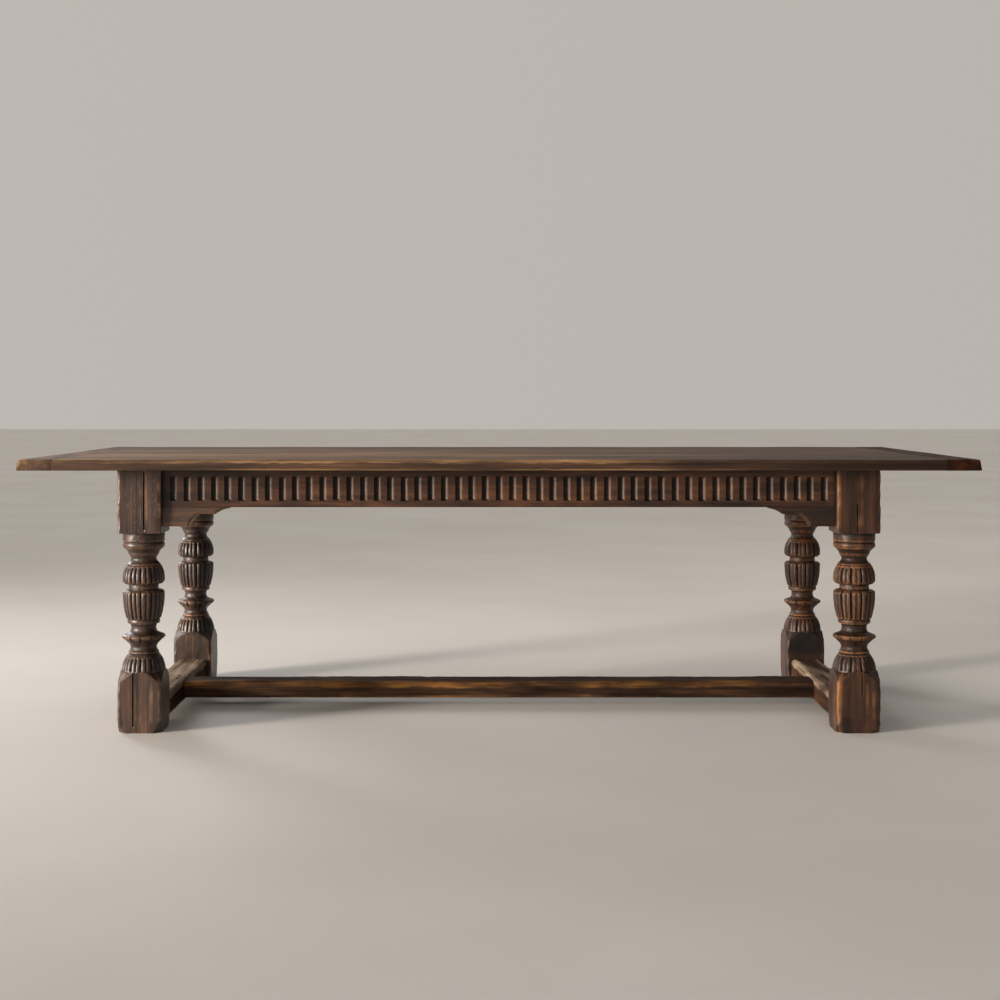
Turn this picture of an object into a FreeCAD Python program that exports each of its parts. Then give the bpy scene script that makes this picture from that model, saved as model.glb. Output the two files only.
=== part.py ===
import FreeCAD, Part
import math
import os
import Sketcher

# Refectory table in oak: four turned and carved legs, a fluted frieze and a plank top with cleated ends.
# Millimetres. The origin is on the floor under the middle of the top, +X along the table, +Z up, front at -Y.

SIZES = {
    # Whole table
    "table_length": 2610,
    "table_width": 1067,
    "table_height": 762,
    "end_overhang": 248.5,
    "side_overhang": 100,
    # Room left round every tenon, tongue and peg
    "fit_gap": 0.2,
    # Plank top
    "top_thick": 31,
    "top_edge_round": 5,
    "tongue_thick": 10,
    "side_tongue": 9,
    "end_tongue": 36,
    "cleat_width": 95,
    "cleat_bevel": 6,
    "cleat_peg_radius": 5,
    "cleat_peg_inset": 18,
    # Leg blank and foot
    "leg_size": 122,
    "leg_arris": 4,
    "foot_height": 136,
    "foot_wear": 16,
    "foot_wear_rise": 24,
    "shoulder_rise": 30,
    "shoulder_cut": 27.5,
    # Turned members of the leg, from the foot up
    "edge_ease": 1,
    "bell_height": 49,
    "bell_radius": 60,
    "bell_curve": 71,
    "bell_ring_height": 5,
    "bell_ring_radius": 41.5,
    "ankle_height": 20,
    "ankle_radius": 38,
    "ankle_waist": 36.3,
    "disc_under_height": 20,
    "disc_edge_height": 2.5,
    "disc_over_height": 11.5,
    "disc_radius": 59.5,
    "stem_height": 24,
    "stem_radius": 37.5,
    "stem_waist": 34.5,
    "cup_ring_height": 12,
    "cup_ring_radius": 44.5,
    "cup_height": 81,
    "cup_radius": 57.6,
    "cup_curve": 225,
    "cup_crown": 13,
    "cup_lip": 3,
    "cup_lip_bevel": 4.5,
    "waist_height": 18,
    "waist_radius": 40,
    "cover_height": 52,
    "cover_radius": 58,
    "cover_curve": 66,
    "cover_crown": 15,
    "cover_ring_height": 3,
    "cover_ring_radius": 45,
    "neck_height": 22,
    "neck_radius": 37.5,
    "neck_waist": 35.5,
    "neck_ring_height": 12,
    "neck_ring_radius": 43,
    "collar_taper": 11,
    "collar_roll": 16,
    "collar_bulge": 3,
    "collar_band": 27.5,
    "collar_radius": 58,
    # Carved lobes on the cover, the cup and the bell
    "lobe_groove_depth": 5,
    # Frieze rails
    "rail_height": 107,
    "rail_thick": 34,
    "rail_setback": 18,
    "rail_tenon_thick": 12,
    "rail_tenon_length": 52,
    "rail_tenon_foot": 10,
    "rail_tenon_head": 16,
    "rail_peg_radius": 5,
    "rail_peg_inset": 22,
    "rail_peg_margin": 26,
    "flute_pitch": 37.6,
    "flute_mouth": 20.5,
    "flute_floor": 9,
    "flute_depth": 7,
    "flute_height": 68,
    "flute_rise": 18,
    "flute_margin": 32,
    # Brackets under the rails
    "bracket_length": 186,
    "bracket_height": 54,
    "bracket_thick": 30,
    "bracket_sole": 72,
    "bracket_shelf_start": 103,
    "bracket_shelf_end": 145,
    "bracket_shelf_rise": 34,
    "bracket_cove": 5,
    "bracket_tip_cove": 3,
    "bracket_tip": 3,
    # Stretchers
    "end_stretcher_width": 94,
    "end_stretcher_height": 64,
    "end_stretcher_clear": 16,
    "long_stretcher_width": 98,
    "long_stretcher_height": 51,
    "long_stretcher_clear": 24,
    "stretcher_wear": 7,
    "stretcher_tenon_height": 26,
    "stretcher_tenon_width": 66,
    "stretcher_tenon_length": 60,
    "stretcher_peg_radius": 6,
    "stretcher_peg_spread": 36,
    # Cross bearers under the top
    "bearer_spacing": 680,
    "bearer_thick": 44,
    "bearer_height": 70,
    "bearer_tenon_thick": 16,
    "bearer_tenon_length": 14,
    "bearer_tenon_shoulder": 14,
    # Buttons that hold the top down
    "button_pitch": 340,
    "button_length": 46,
    "button_width": 36,
    "button_groove_drop": 14,
    "button_groove_height": 10,
    "button_groove_depth": 11,
    "button_stand_off": 1,
}

BOARD_COUNT = 5
LOBE_COUNT = 12
PEG_SIDES = 8
LONG_RAIL_BUTTONS = 6
END_RAIL_BUTTONS = 3

doc = FreeCAD.newDocument("refectory_table")
sheet = doc.addObject("Spreadsheet::Sheet", "sizes")
for row, (alias, number) in enumerate(SIZES.items(), start=1):
    sheet.set(f"A{row}", alias)
    sheet.set(f"B{row}", str(number))
    sheet.setAlias(f"B{row}", alias)
doc.recompute()


class Size:
    """A length with its number and the sheet formula that gives it, so that sizes can be added and scaled."""

    def __init__(self, value, text):
        self.value = value
        self.text = text

    def __add__(self, other):
        other = as_size(other)
        return Size(self.value + other.value, f"({self.text} + {other.text})")

    def __sub__(self, other):
        other = as_size(other)
        return Size(self.value - other.value, f"({self.text} - {other.text})")

    def __mul__(self, other):
        other = as_size(other)
        return Size(self.value * other.value, f"({self.text} * {other.text})")

    def __truediv__(self, other):
        other = as_size(other)
        return Size(self.value / other.value, f"({self.text} / {other.text})")

    def __neg__(self):
        return Size(-self.value, f"(-1 * {self.text})")

    def root(self):
        return Size(math.sqrt(self.value), f"sqrt({self.text})")


def as_size(value):
    if isinstance(value, Size):
        return value
    return Size(value, f"({value})")


class Sheet:
    """Every named size of the sheet, as an attribute."""

    def __init__(self):
        for name, value in SIZES.items():
            setattr(self, name, Size(value, f"sizes.{name}"))


s = Sheet()
NODES = []
LEFT_RIGHT = FreeCAD.Vector(1, 0, 0)
FRONT_REAR = FreeCAD.Vector(0, 1, 0)


def bind(item, name, value):
    """Ties a property to its sheet formula. What is no size, such as a choice or a link, is set as it is."""
    if isinstance(value, Size):
        item.setExpression(name, value.text)
    else:
        setattr(item, name, value)


def place(item, x, y, z, rotation=FreeCAD.Rotation()):
    item.Placement = FreeCAD.Placement(FreeCAD.Vector(), rotation)
    for axis, amount in zip("xyz", (x, y, z)):
        item.setExpression(f"Placement.Base.{axis}", as_size(amount).text)


def turned(degrees):
    return FreeCAD.Rotation(FreeCAD.Vector(0, 0, 1), degrees)


def node(label, item):
    """Gives a finished sub-part its name and puts it on the list of what is written out."""
    item.Label = label
    NODES.append(item)
    return item


def mirrored(label, first, across):
    """The same sub-part on the other side of one of the table's two middle planes."""
    item = doc.addObject("Part::Mirroring", label + "_mirrored")
    item.Source = first
    item.Normal = across
    return node(label, item)


def mirrored_round(first, right, rear, rear_right):
    """The sub-part of one corner, mirrored to the three other corners."""
    twin = mirrored(right, first, LEFT_RIGHT)
    mirrored(rear, first, FRONT_REAR)
    mirrored(rear_right, twin, FRONT_REAR)


def new_body(name):
    return doc.addObject("PartDesign::Body", name + "_body")


def sketch_on(body, name, plane, shift=(0, 0, 0)):
    """A sketch on one of the body's own origin planes, shifted in that plane's directions."""
    sketch = body.newObject("Sketcher::SketchObject", name)
    origin = next(item for item in body.Origin.OriginFeatures if item.Role == plane)
    sketch.AttachmentSupport = [(origin, "")]
    sketch.MapMode = "FlatFace"
    for axis, amount in zip("xyz", shift):
        sketch.setExpression(f"AttachmentOffset.Base.{axis}", as_size(amount).text)
    return sketch


def hold(sketch, constraints):
    """Adds pairs of a constraint and its size to a sketch. One that holds no size comes with None."""
    first = sketch.ConstraintCount
    sketch.addConstraint([constraint for constraint, size in constraints])
    for index, (constraint, size) in enumerate(constraints, start=first):
        if size is not None:
            sketch.setExpression(f"Constraints[{index}]", size.text)


def pinned(item, end, x, y):
    """The constraints that hold one point of a sketch at its distances from the sketch's own origin."""
    pair = []
    for kind, axis, amount in (("DistanceX", -2, as_size(x)), ("DistanceY", -1, as_size(y))):
        if amount.value == 0:
            pair.append((Sketcher.Constraint("PointOnObject", item, end, axis), None))
        elif amount.value > 0:
            pair.append((Sketcher.Constraint(kind, -1, 1, item, end, amount.value), amount))
        else:
            pair.append((Sketcher.Constraint(kind, item, end, -1, 1, -amount.value), -amount))
    return pair


def vector(corner):
    return FreeCAD.Vector(as_size(corner[0]).value, as_size(corner[1]).value, 0)


def arc_between(begin, finish, radius):
    """The short arc between two points, with its centre on the left where the radius is positive."""
    chord = finish - begin
    side = FreeCAD.Vector(-chord.y, chord.x, 0).normalize()
    reach = math.sqrt(radius ** 2 - (chord.Length / 2) ** 2)
    centre = (begin + finish) * 0.5 + side * math.copysign(reach, radius)
    first, last = (begin, finish) if radius > 0 else (finish, begin)
    angles = [math.atan2(spot.y - centre.y, spot.x - centre.x) for spot in (first, last)]
    circle = Part.Circle(centre, FreeCAD.Vector(0, 0, 1), abs(radius))
    return Part.ArcOfCircle(circle, angles[0], angles[1])


def bowed(begin, finish, bow):
    """The radius of an arc between two corners whose middle stands off its chord by the bow."""
    across = finish[0] - begin[0]
    along = finish[1] - begin[1]
    return ((across * across + along * along) / 4 + bow * bow) / (bow * 2)


def outline(sketch, corners):
    """A closed outline. A corner is (x, y), or (x, y, radius) where the way to the next corner is an arc."""
    base = sketch.GeometryCount
    count = len(corners)
    ways = []
    ends = []
    for index, corner in enumerate(corners):
        begin = vector(corner)
        finish = vector(corners[(index + 1) % count])
        if len(corner) == 2:
            ways.append(Part.LineSegment(begin, finish))
            ends.append((1, 2))
        else:
            ways.append(arc_between(begin, finish, corner[2].value))
            ends.append((1, 2) if corner[2].value > 0 else (2, 1))
    sketch.addGeometry(ways)
    held = []
    for index, corner in enumerate(corners):
        item = base + index
        after = (index + 1) % count
        joint = Sketcher.Constraint("Coincident", item, ends[index][1], base + after, ends[after][0])
        held.append((joint, None))
        held += pinned(item, ends[index][0], corner[0], corner[1])
        if len(corner) == 3:
            radius = corner[2] if corner[2].value > 0 else -corner[2]
            held.append((Sketcher.Constraint("Radius", item, radius.value), radius))
    hold(sketch, held)
    return sketch


def rectangle(sketch, x_from, y_from, x_to, y_to):
    return outline(sketch, [(x_from, y_from), (x_to, y_from), (x_to, y_to), (x_from, y_to)])


def direction(turns):
    """Across and along for one step outwards, at a share of a full turn."""
    angle = turns * 2 * math.pi
    return round(math.cos(angle), 9), round(math.sin(angle), 9)


def around(x, y, radius, turns):
    """The corner at a share of a full turn round a point."""
    across, along = direction(turns)
    return as_size(x) + radius * across, as_size(y) + radius * along


def peg_hole(sketch, x, y, radius):
    """A hole for a riven peg, with as many sides as the peg."""
    wide = radius + s.fit_gap
    return outline(sketch, [around(x, y, wide, index / PEG_SIDES) for index in range(PEG_SIDES)])


def feature(body, kind, name, **settings):
    item = body.newObject(f"PartDesign::{kind}", name)
    for key, value in settings.items():
        bind(item, key, value)
    return item


def pad(body, name, sketch, length, side="One side"):
    return feature(body, "Pad", name, Profile=sketch, SideType=side, Length=length)


def cut(body, kind, name, sketch, **settings):
    """A cutting feature. It stops the build where it points away from the solid and takes nothing off."""
    doc.recompute()
    before = body.Shape.Volume
    item = feature(body, kind, name, Profile=sketch, **settings)
    doc.recompute()
    if body.Shape.Volume > before - 1:
        raise RuntimeError(f"{body.Name}: {name} cuts nothing")
    return item


def repeat(body, kind, name, originals, **settings):
    """A pattern of features, which becomes the body's last step."""
    item = feature(body, kind, name, Originals=originals, **settings)
    body.Tip = item
    return item


# Places that several pieces share

leg_half = s.leg_size / 2
leg_height = s.table_height - s.top_thick
leg_x = s.table_length / 2 - s.end_overhang - leg_half
leg_y = s.table_width / 2 - s.side_overhang - leg_half
board_width = s.table_width / BOARD_COUNT
board_shoulder = s.table_length / 2 - s.cleat_width
rail_bottom = leg_height - s.rail_height
rail_face_x = leg_x + leg_half - s.rail_setback
rail_face_y = leg_y + leg_half - s.rail_setback
long_rail_clear = (leg_x - leg_half) * 2
end_rail_clear = (leg_y - leg_half) * 2
tenon_inset = (s.rail_thick - s.rail_tenon_thick) / 2
rail_peg_low = s.rail_tenon_foot + s.rail_peg_margin
rail_peg_high = s.rail_height - s.rail_tenon_head - s.rail_peg_margin
rail_peg_length = s.rail_setback + tenon_inset + s.rail_tenon_thick
end_stretcher_mid = s.end_stretcher_clear + s.end_stretcher_height / 2
long_stretcher_mid = s.long_stretcher_clear + s.long_stretcher_height / 2
end_stretcher_top = s.end_stretcher_clear + s.end_stretcher_height
foot_peg_length = leg_half + s.stretcher_tenon_width / 2
stretcher_peg_length = end_stretcher_top - long_stretcher_mid + s.stretcher_tenon_height / 2
tongue_low = (s.top_thick - s.tongue_thick) / 2
tongue_high = (s.top_thick + s.tongue_thick) / 2
cleat_peg_length = s.top_thick - tongue_low
bearer_places = [s.bearer_spacing / -2, s.bearer_spacing / 2]
button_reach = s.rail_thick + s.button_stand_off + s.button_length / 2


def top_board(index):
    """One plank: tongue on its rear edge, groove on its front edge, and a tongue across each end."""
    name = f"top_board_{index + 1}"
    body = new_body(name)
    corners = []
    if index == 0:
        corners += [(0, s.top_thick - s.top_edge_round), (0, s.top_edge_round, s.top_edge_round)]
        corners += [(s.top_edge_round, 0)]
    else:
        groove_back = s.side_tongue + s.fit_gap
        corners += [(0, s.top_thick), (0, tongue_high + s.fit_gap), (groove_back, tongue_high + s.fit_gap)]
        corners += [(groove_back, tongue_low - s.fit_gap), (0, tongue_low - s.fit_gap), (0, 0)]
    if index == BOARD_COUNT - 1:
        corners += [(board_width - s.top_edge_round, 0, s.top_edge_round), (board_width, s.top_edge_round)]
        corners += [(board_width, s.top_thick - s.top_edge_round, s.top_edge_round)]
        corners += [(board_width - s.top_edge_round, s.top_thick)]
    else:
        tongue_tip = board_width + s.side_tongue
        corners += [(board_width, 0), (board_width, tongue_low), (tongue_tip, tongue_low)]
        corners += [(tongue_tip, tongue_high), (board_width, tongue_high), (board_width, s.top_thick)]
    if index == 0:
        corners += [(s.top_edge_round, s.top_thick, s.top_edge_round)]
    section = outline(sketch_on(body, name + "_section", "YZ_Plane"), corners)
    pad(body, name + "_plank", section, (board_shoulder + s.end_tongue) * 2, "Symmetric")
    ends = sketch_on(body, name + "_ends", "XZ_Plane")
    tip = board_shoulder + s.end_tongue * 2
    for side in (-1, 1):
        rectangle(ends, board_shoulder * side, -s.top_thick, tip * side, tongue_low)
        rectangle(ends, board_shoulder * side, tongue_high, tip * side, s.top_thick * 2)
    cut(body, "Pocket", name + "_end_tongues", ends, SideType="Symmetric", Length=s.table_width * 2)
    pegs = sketch_on(body, name + "_peg_holes", "XY_Plane", (0, 0, s.top_thick))
    for side in (-1, 1):
        peg_hole(pegs, (board_shoulder + s.cleat_peg_inset) * side, board_width / 2, s.cleat_peg_radius)
    cut(body, "Pocket", name + "_peg_pocket", pegs, Length=s.top_thick)
    place(body, 0, s.table_width / -2 + board_width * index, leg_height)
    node(name, body)


def cleat(name):
    """The piece across the board ends. Its groove takes the end tongues, one peg holds each board."""
    body = new_body(name)
    groove_back = s.end_tongue + s.fit_gap
    bevelled = s.cleat_width - s.cleat_bevel
    section = sketch_on(body, name + "_section", "XZ_Plane")
    outline(section, [
        (0, 0),
        (s.cleat_width, 0),
        (bevelled, s.top_thick - s.top_edge_round, s.top_edge_round),
        (bevelled - s.top_edge_round, s.top_thick),
        (0, s.top_thick),
        (0, tongue_high + s.fit_gap),
        (groove_back, tongue_high + s.fit_gap),
        (groove_back, tongue_low - s.fit_gap),
        (0, tongue_low - s.fit_gap),
    ])
    pad(body, name + "_plank", section, s.table_width, "Symmetric")
    hole = sketch_on(body, name + "_peg_hole", "XY_Plane", (0, 0, s.top_thick))
    first = board_width * ((BOARD_COUNT - 1) / -2)
    peg_hole(hole, s.cleat_peg_inset, first, s.cleat_peg_radius)
    bored = cut(body, "Pocket", name + "_peg_pocket", hole, Length=cleat_peg_length)
    repeat(body, "LinearPattern", name + "_peg_row", [bored], Direction=(hole, ["V_Axis"]),
           Length=board_width * (BOARD_COUNT - 1), Occurrences=BOARD_COUNT)
    place(body, board_shoulder, 0, leg_height)
    return node(name, body)


# Levels of the turned leg, from the floor up

shoulder_top = s.foot_height + s.shoulder_rise
bell_top = shoulder_top + s.bell_height
ankle_low = bell_top + s.bell_ring_height
disc_low = ankle_low + s.ankle_height
disc_edge_low = disc_low + s.disc_under_height
disc_edge_high = disc_edge_low + s.disc_edge_height
stem_low = disc_edge_high + s.disc_over_height
cup_ring_low = stem_low + s.stem_height
cup_low = cup_ring_low + s.cup_ring_height
cup_high = cup_low + s.cup_height
cup_widest = cup_high - s.cup_crown
cover_low = cup_high + s.waist_height
cover_widest = cover_low + s.cover_crown
cover_high = cover_low + s.cover_height
neck_low = cover_high + s.cover_ring_height
neck_ring_low = neck_low + s.neck_height
neck_ring_high = neck_ring_low + s.neck_ring_height
roll_low = neck_ring_high + s.collar_taper
roll_high = roll_low + s.collar_roll
block_low = roll_high + s.collar_band


def on_curve(radius, curve, widest, level):
    """The radius at a level of a swelling turned on an arc, whose widest level is given."""
    away = level - widest
    return radius - curve + (curve * curve - away * away).root()


def turned_outline(body, name, level, radius, groove_share):
    """The leg's outline at a level: the foot of a groove, then the crest of a lobe, all the way round."""
    corners = []
    for lobe in range(LOBE_COUNT):
        corners.append(around(0, 0, radius - radius * groove_share, lobe / LOBE_COUNT))
        corners.append(around(0, 0, radius, (lobe + 0.5) / LOBE_COUNT))
    return outline(sketch_on(body, name, "XY_Plane", (0, 0, level)), corners)


def turned_member(body, name, rings, groove_share=0):
    """A turned member through outlines at levels and radii from the bottom up, carved into lobes or plain."""
    outlines = []
    for level, radius in rings:
        outlines.append(turned_outline(body, f"{name}_{len(outlines) + 1}", level, radius, groove_share))
    feature(body, "AdditiveLoft", name, Profile=outlines[0], Sections=outlines[1:], Ruled=True)


def lobed_member(body, name, rings):
    turned_member(body, name, rings, s.lobe_groove_depth / s.cup_radius)


def eased_square(body, name, level):
    """The leg's square at a level, with its arrises taken off."""
    half = leg_half
    flat = leg_half - s.leg_arris
    return outline(sketch_on(body, name, "XY_Plane", (0, 0, level)), [
        (half, -flat), (half, flat), (flat, half), (-flat, half),
        (-half, flat), (-half, -flat), (-flat, -half), (flat, -half),
    ])


def foot(body, name):
    """The square foot. Straight cuts across its corners make the sloping shoulders and the wear below."""
    pad(body, name, eased_square(body, name + "_square", 0), shoulder_top)
    corner = sketch_on(body, name + "_corner", "XZ_Plane")
    corner.AttachmentOffset = FreeCAD.Placement(FreeCAD.Vector(), FreeCAD.Rotation(FRONT_REAR, 45))
    reach = leg_half * math.sqrt(2)
    shoulder = reach - s.shoulder_cut / math.sqrt(2)
    worn = reach - s.foot_wear / math.sqrt(2)
    outline(corner, [(shoulder, shoulder_top), (reach, s.foot_height), (reach, shoulder_top)])
    outline(corner, [(worn, 0), (reach, 0), (reach, s.foot_wear_rise)])
    cuts = cut(body, "Pocket", name + "_corner_cuts", corner, SideType="Symmetric", Length=s.leg_size * 2)
    repeat(body, "PolarPattern", name + "_corners", [cuts], Axis=(corner, ["V_Axis"]), Angle=360, Occurrences=4)


def bell(body, name):
    """The bell that spreads down to the foot."""
    rings = []
    for share in (0, 0.5, 0.8, 1):
        level = shoulder_top + s.bell_height * share
        rings.append((level, on_curve(s.bell_radius, s.bell_curve, shoulder_top, level)))
    lobed_member(body, name, rings)


def disc(body, name):
    """The ring on the bell, the ankle, the sharp disc, the stem and the ring under the cup."""
    turned_member(body, name, [
        (bell_top, s.bell_ring_radius),
        (ankle_low, s.bell_ring_radius),
        ((ankle_low + disc_low) / 2, s.ankle_waist),
        (disc_low, s.ankle_radius),
        ((disc_low + disc_edge_low) / 2, (s.ankle_radius + s.disc_radius) / 2),
        (disc_edge_low, s.disc_radius),
        (disc_edge_high, s.disc_radius),
        ((disc_edge_high + stem_low) / 2, (s.disc_radius + s.stem_radius) / 2),
        (stem_low, s.stem_radius),
        ((stem_low + cup_ring_low) / 2, s.stem_waist),
        (cup_ring_low, s.stem_radius),
        (cup_ring_low + s.edge_ease, s.cup_ring_radius),
        (cup_low, s.cup_ring_radius),
    ])


def cup(body, name):
    """The tall cup with its bevelled lip."""
    lip = cup_high - s.cup_lip
    middle = (cup_low + cup_widest) / 2
    wide = on_curve(s.cup_radius, s.cup_curve, cup_widest, lip)
    lobed_member(body, name, [
        (cup_low, on_curve(s.cup_radius, s.cup_curve, cup_widest, cup_low)),
        (middle, on_curve(s.cup_radius, s.cup_curve, cup_widest, middle)),
        (lip, wide),
        (cup_high, wide - s.cup_lip_bevel),
    ])


def cover(body, name):
    """The domed cover, with a bevelled lip towards the cup."""
    lip = cover_low + s.cup_lip
    dome = (cover_widest + cover_high * 2) / 3
    wide = on_curve(s.cover_radius, s.cover_curve, cover_widest, lip)
    lobed_member(body, name, [
        (cover_low, wide - s.cup_lip_bevel),
        (lip, wide),
        (cover_widest, s.cover_radius),
        (dome, on_curve(s.cover_radius, s.cover_curve, cover_widest, dome)),
        (cover_high, on_curve(s.cover_radius, s.cover_curve, cover_widest, cover_high)),
    ])


def collar(body, name):
    """The ring on the cover, the neck and the rolled collar under the block."""
    roll_inner = s.collar_radius - s.collar_bulge
    turned_member(body, name, [
        (cover_high, s.cover_ring_radius),
        (neck_low, s.cover_ring_radius),
        ((neck_low + neck_ring_low) / 2, s.neck_waist),
        (neck_ring_low, s.neck_radius),
        (neck_ring_high, s.neck_ring_radius),
        (roll_low, roll_inner),
        ((roll_low + roll_high) / 2, s.collar_radius),
        (roll_high, roll_inner),
        (roll_high + s.collar_bulge, s.collar_radius),
        (block_low, s.collar_radius),
    ])


def leg(name):
    """The front left leg. Its inner faces look to +X and +Y."""
    body = new_body(name)
    body.AllowCompound = True
    foot(body, name + "_foot")
    block = eased_square(body, name + "_block_square", block_low)
    pad(body, name + "_block", block, leg_height - block_low)
    cut_leg_joints(body, name)
    bell(body, name + "_bell")
    disc(body, name + "_disc")
    cup(body, name + "_cup")
    turned_member(body, name + "_waist", [(cup_high, s.waist_radius), (cover_low, s.waist_radius)])
    cover(body, name + "_cover")
    collar(body, name + "_collar")
    place(body, -leg_x, -leg_y, 0)
    return node(name, body)


def cut_leg_joints(body, name):
    """Mortises for the two rails and the end stretcher, and the holes for their pegs."""
    gap = s.fit_gap
    near = s.rail_setback + tenon_inset - leg_half
    far = near + s.rail_tenon_thick
    low = rail_bottom + s.rail_tenon_foot - gap
    high = leg_height - s.rail_tenon_head + gap
    depth = s.rail_tenon_length + gap
    long_side = sketch_on(body, name + "_long_rail_mouth", "YZ_Plane", (0, 0, leg_half))
    rectangle(long_side, near - gap, low, far + gap, high)
    cut(body, "Pocket", name + "_long_rail_mortise", long_side, Length=depth)
    end_side = sketch_on(body, name + "_end_rail_mouth", "XZ_Plane", (0, 0, -leg_half))
    rectangle(end_side, near - gap, low, far + gap, high)
    cut(body, "Pocket", name + "_end_rail_mortise", end_side, Length=depth, Reversed=True)
    foot = sketch_on(body, name + "_stretcher_mouth", "XZ_Plane", (0, 0, -leg_half))
    wide = s.stretcher_tenon_width / 2 + gap
    tall = s.stretcher_tenon_height / 2 + gap
    rectangle(foot, -wide, end_stretcher_mid - tall, wide, end_stretcher_mid + tall)
    cut(body, "Pocket", name + "_stretcher_mortise", foot, Length=s.stretcher_tenon_length + gap,
        Reversed=True)
    peg_place = leg_half - s.rail_peg_inset
    front = sketch_on(body, name + "_front_pegs", "XZ_Plane", (0, 0, leg_half))
    side = sketch_on(body, name + "_side_pegs", "YZ_Plane", (0, 0, -leg_half))
    for level in (rail_bottom + rail_peg_low, rail_bottom + rail_peg_high):
        peg_hole(front, peg_place, level, s.rail_peg_radius)
        peg_hole(side, peg_place, level, s.rail_peg_radius)
    cut(body, "Pocket", name + "_front_peg_holes", front, Length=rail_peg_length)
    cut(body, "Pocket", name + "_side_peg_holes", side, Length=rail_peg_length, Reversed=True)
    foot_peg = sketch_on(body, name + "_foot_peg", "YZ_Plane", (0, 0, -leg_half))
    peg_hole(foot_peg, leg_half - s.stretcher_tenon_length / 2, end_stretcher_mid, s.stretcher_peg_radius)
    cut(body, "Pocket", name + "_foot_peg_hole", foot_peg, Length=foot_peg_length, Reversed=True)


def rail(name, clear, turn, x, y, bearers):
    """A frieze rail with its outer face at y = 0, tenoned at both ends and fluted between the legs."""
    body = new_body(name)
    groove_top = s.rail_height - s.button_groove_drop
    groove_low = groove_top - s.button_groove_height
    groove_back = s.rail_thick - s.button_groove_depth
    section = outline(sketch_on(body, name + "_section", "YZ_Plane"), [
        (0, 0), (s.rail_thick, 0), (s.rail_thick, groove_low), (groove_back, groove_low),
        (groove_back, groove_top), (s.rail_thick, groove_top), (s.rail_thick, s.rail_height),
        (0, s.rail_height),
    ])
    pad(body, name + "_plank", section, clear, "Symmetric")
    tenon = sketch_on(body, name + "_tenon", "YZ_Plane")
    rectangle(tenon, tenon_inset, s.rail_tenon_foot, tenon_inset + s.rail_tenon_thick,
              s.rail_height - s.rail_tenon_head)
    pad(body, name + "_tenons", tenon, clear + s.rail_tenon_length * 2, "Symmetric")
    pegs = sketch_on(body, name + "_pegs", "XZ_Plane")
    for side in (-1, 1):
        for level in (rail_peg_low, rail_peg_high):
            peg_hole(pegs, (clear / 2 + s.rail_peg_inset) * side, level, s.rail_peg_radius)
    cut(body, "Pocket", name + "_peg_holes", pegs, SideType="Symmetric", Length=s.rail_thick * 2)
    if bearers:
        mouths = sketch_on(body, name + "_bearer_mouths", "XZ_Plane", (0, 0, -s.rail_thick))
        wide = s.bearer_tenon_thick / 2 + s.fit_gap
        low = s.rail_height - s.bearer_height + s.bearer_tenon_shoulder - s.fit_gap
        high = s.rail_height - s.bearer_tenon_shoulder + s.fit_gap
        for spot in bearer_places:
            rectangle(mouths, spot - wide, low, spot + wide, high)
        cut(body, "Pocket", name + "_bearer_mortises", mouths, Length=s.bearer_tenon_length + s.fit_gap,
            Reversed=True)
    room = clear.value - 2 * s.flute_margin.value
    count = int(room // s.flute_pitch.value) + 1
    span = s.flute_pitch * (count - 1)
    gouge = sketch_on(body, name + "_gouge", "XY_Plane", (0, 0, s.flute_rise))
    first = span / -2
    mouth = s.flute_mouth / 2
    floor = s.flute_floor / 2
    outline(gouge, [
        (first - mouth, -s.flute_depth), (first + mouth, -s.flute_depth), (first + mouth, 0),
        (first + floor, s.flute_depth), (first - floor, s.flute_depth), (first - mouth, 0),
    ])
    flute = cut(body, "Pocket", name + "_flute", gouge, Length=s.flute_height, Reversed=True)
    repeat(body, "LinearPattern", name + "_flutes", [flute], Direction=(gouge, ["H_Axis"]), Length=span,
           Occurrences=count)
    place(body, x, y, rail_bottom, turned(turn))
    return node(name, body)


def bracket(name, hand, turn, x, y):
    """A shaped bracket under a rail, from the leg outwards in the direction of its hand."""
    body = new_body(name)
    sole_end = (s.bracket_sole * hand, 0)
    shelf_start = (s.bracket_shelf_start * hand, as_size(s.bracket_shelf_rise))
    shelf_end = (s.bracket_shelf_end * hand, as_size(s.bracket_shelf_rise))
    tip_low = (s.bracket_length * hand, s.bracket_height - s.bracket_tip)
    cove = bowed((sole_end[0], as_size(0)), shelf_start, s.bracket_cove) * -hand
    tip_cove = bowed(shelf_end, tip_low, s.bracket_tip_cove) * -hand
    side = outline(sketch_on(body, name + "_side", "XZ_Plane"), [
        (0, 0), (*sole_end, cove), shelf_start, (*shelf_end, tip_cove), tip_low,
        (s.bracket_length * hand, s.bracket_height), (0, s.bracket_height),
    ])
    feature(body, "Pad", name + "_shape", Profile=side, Length=s.bracket_thick, Reversed=True)
    place(body, x, y, rail_bottom - s.bracket_height, turned(turn))
    return node(name, body)


def worn_section(sketch, width, height):
    """A stretcher's section, with its two upper edges worn down by feet."""
    half = width / 2
    worn = s.stretcher_wear
    return outline(sketch, [
        (-half, 0), (half, 0), (half, height - worn, worn), (half - worn, height),
        (worn - half, height, worn), (-half, height - worn),
    ])


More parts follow.
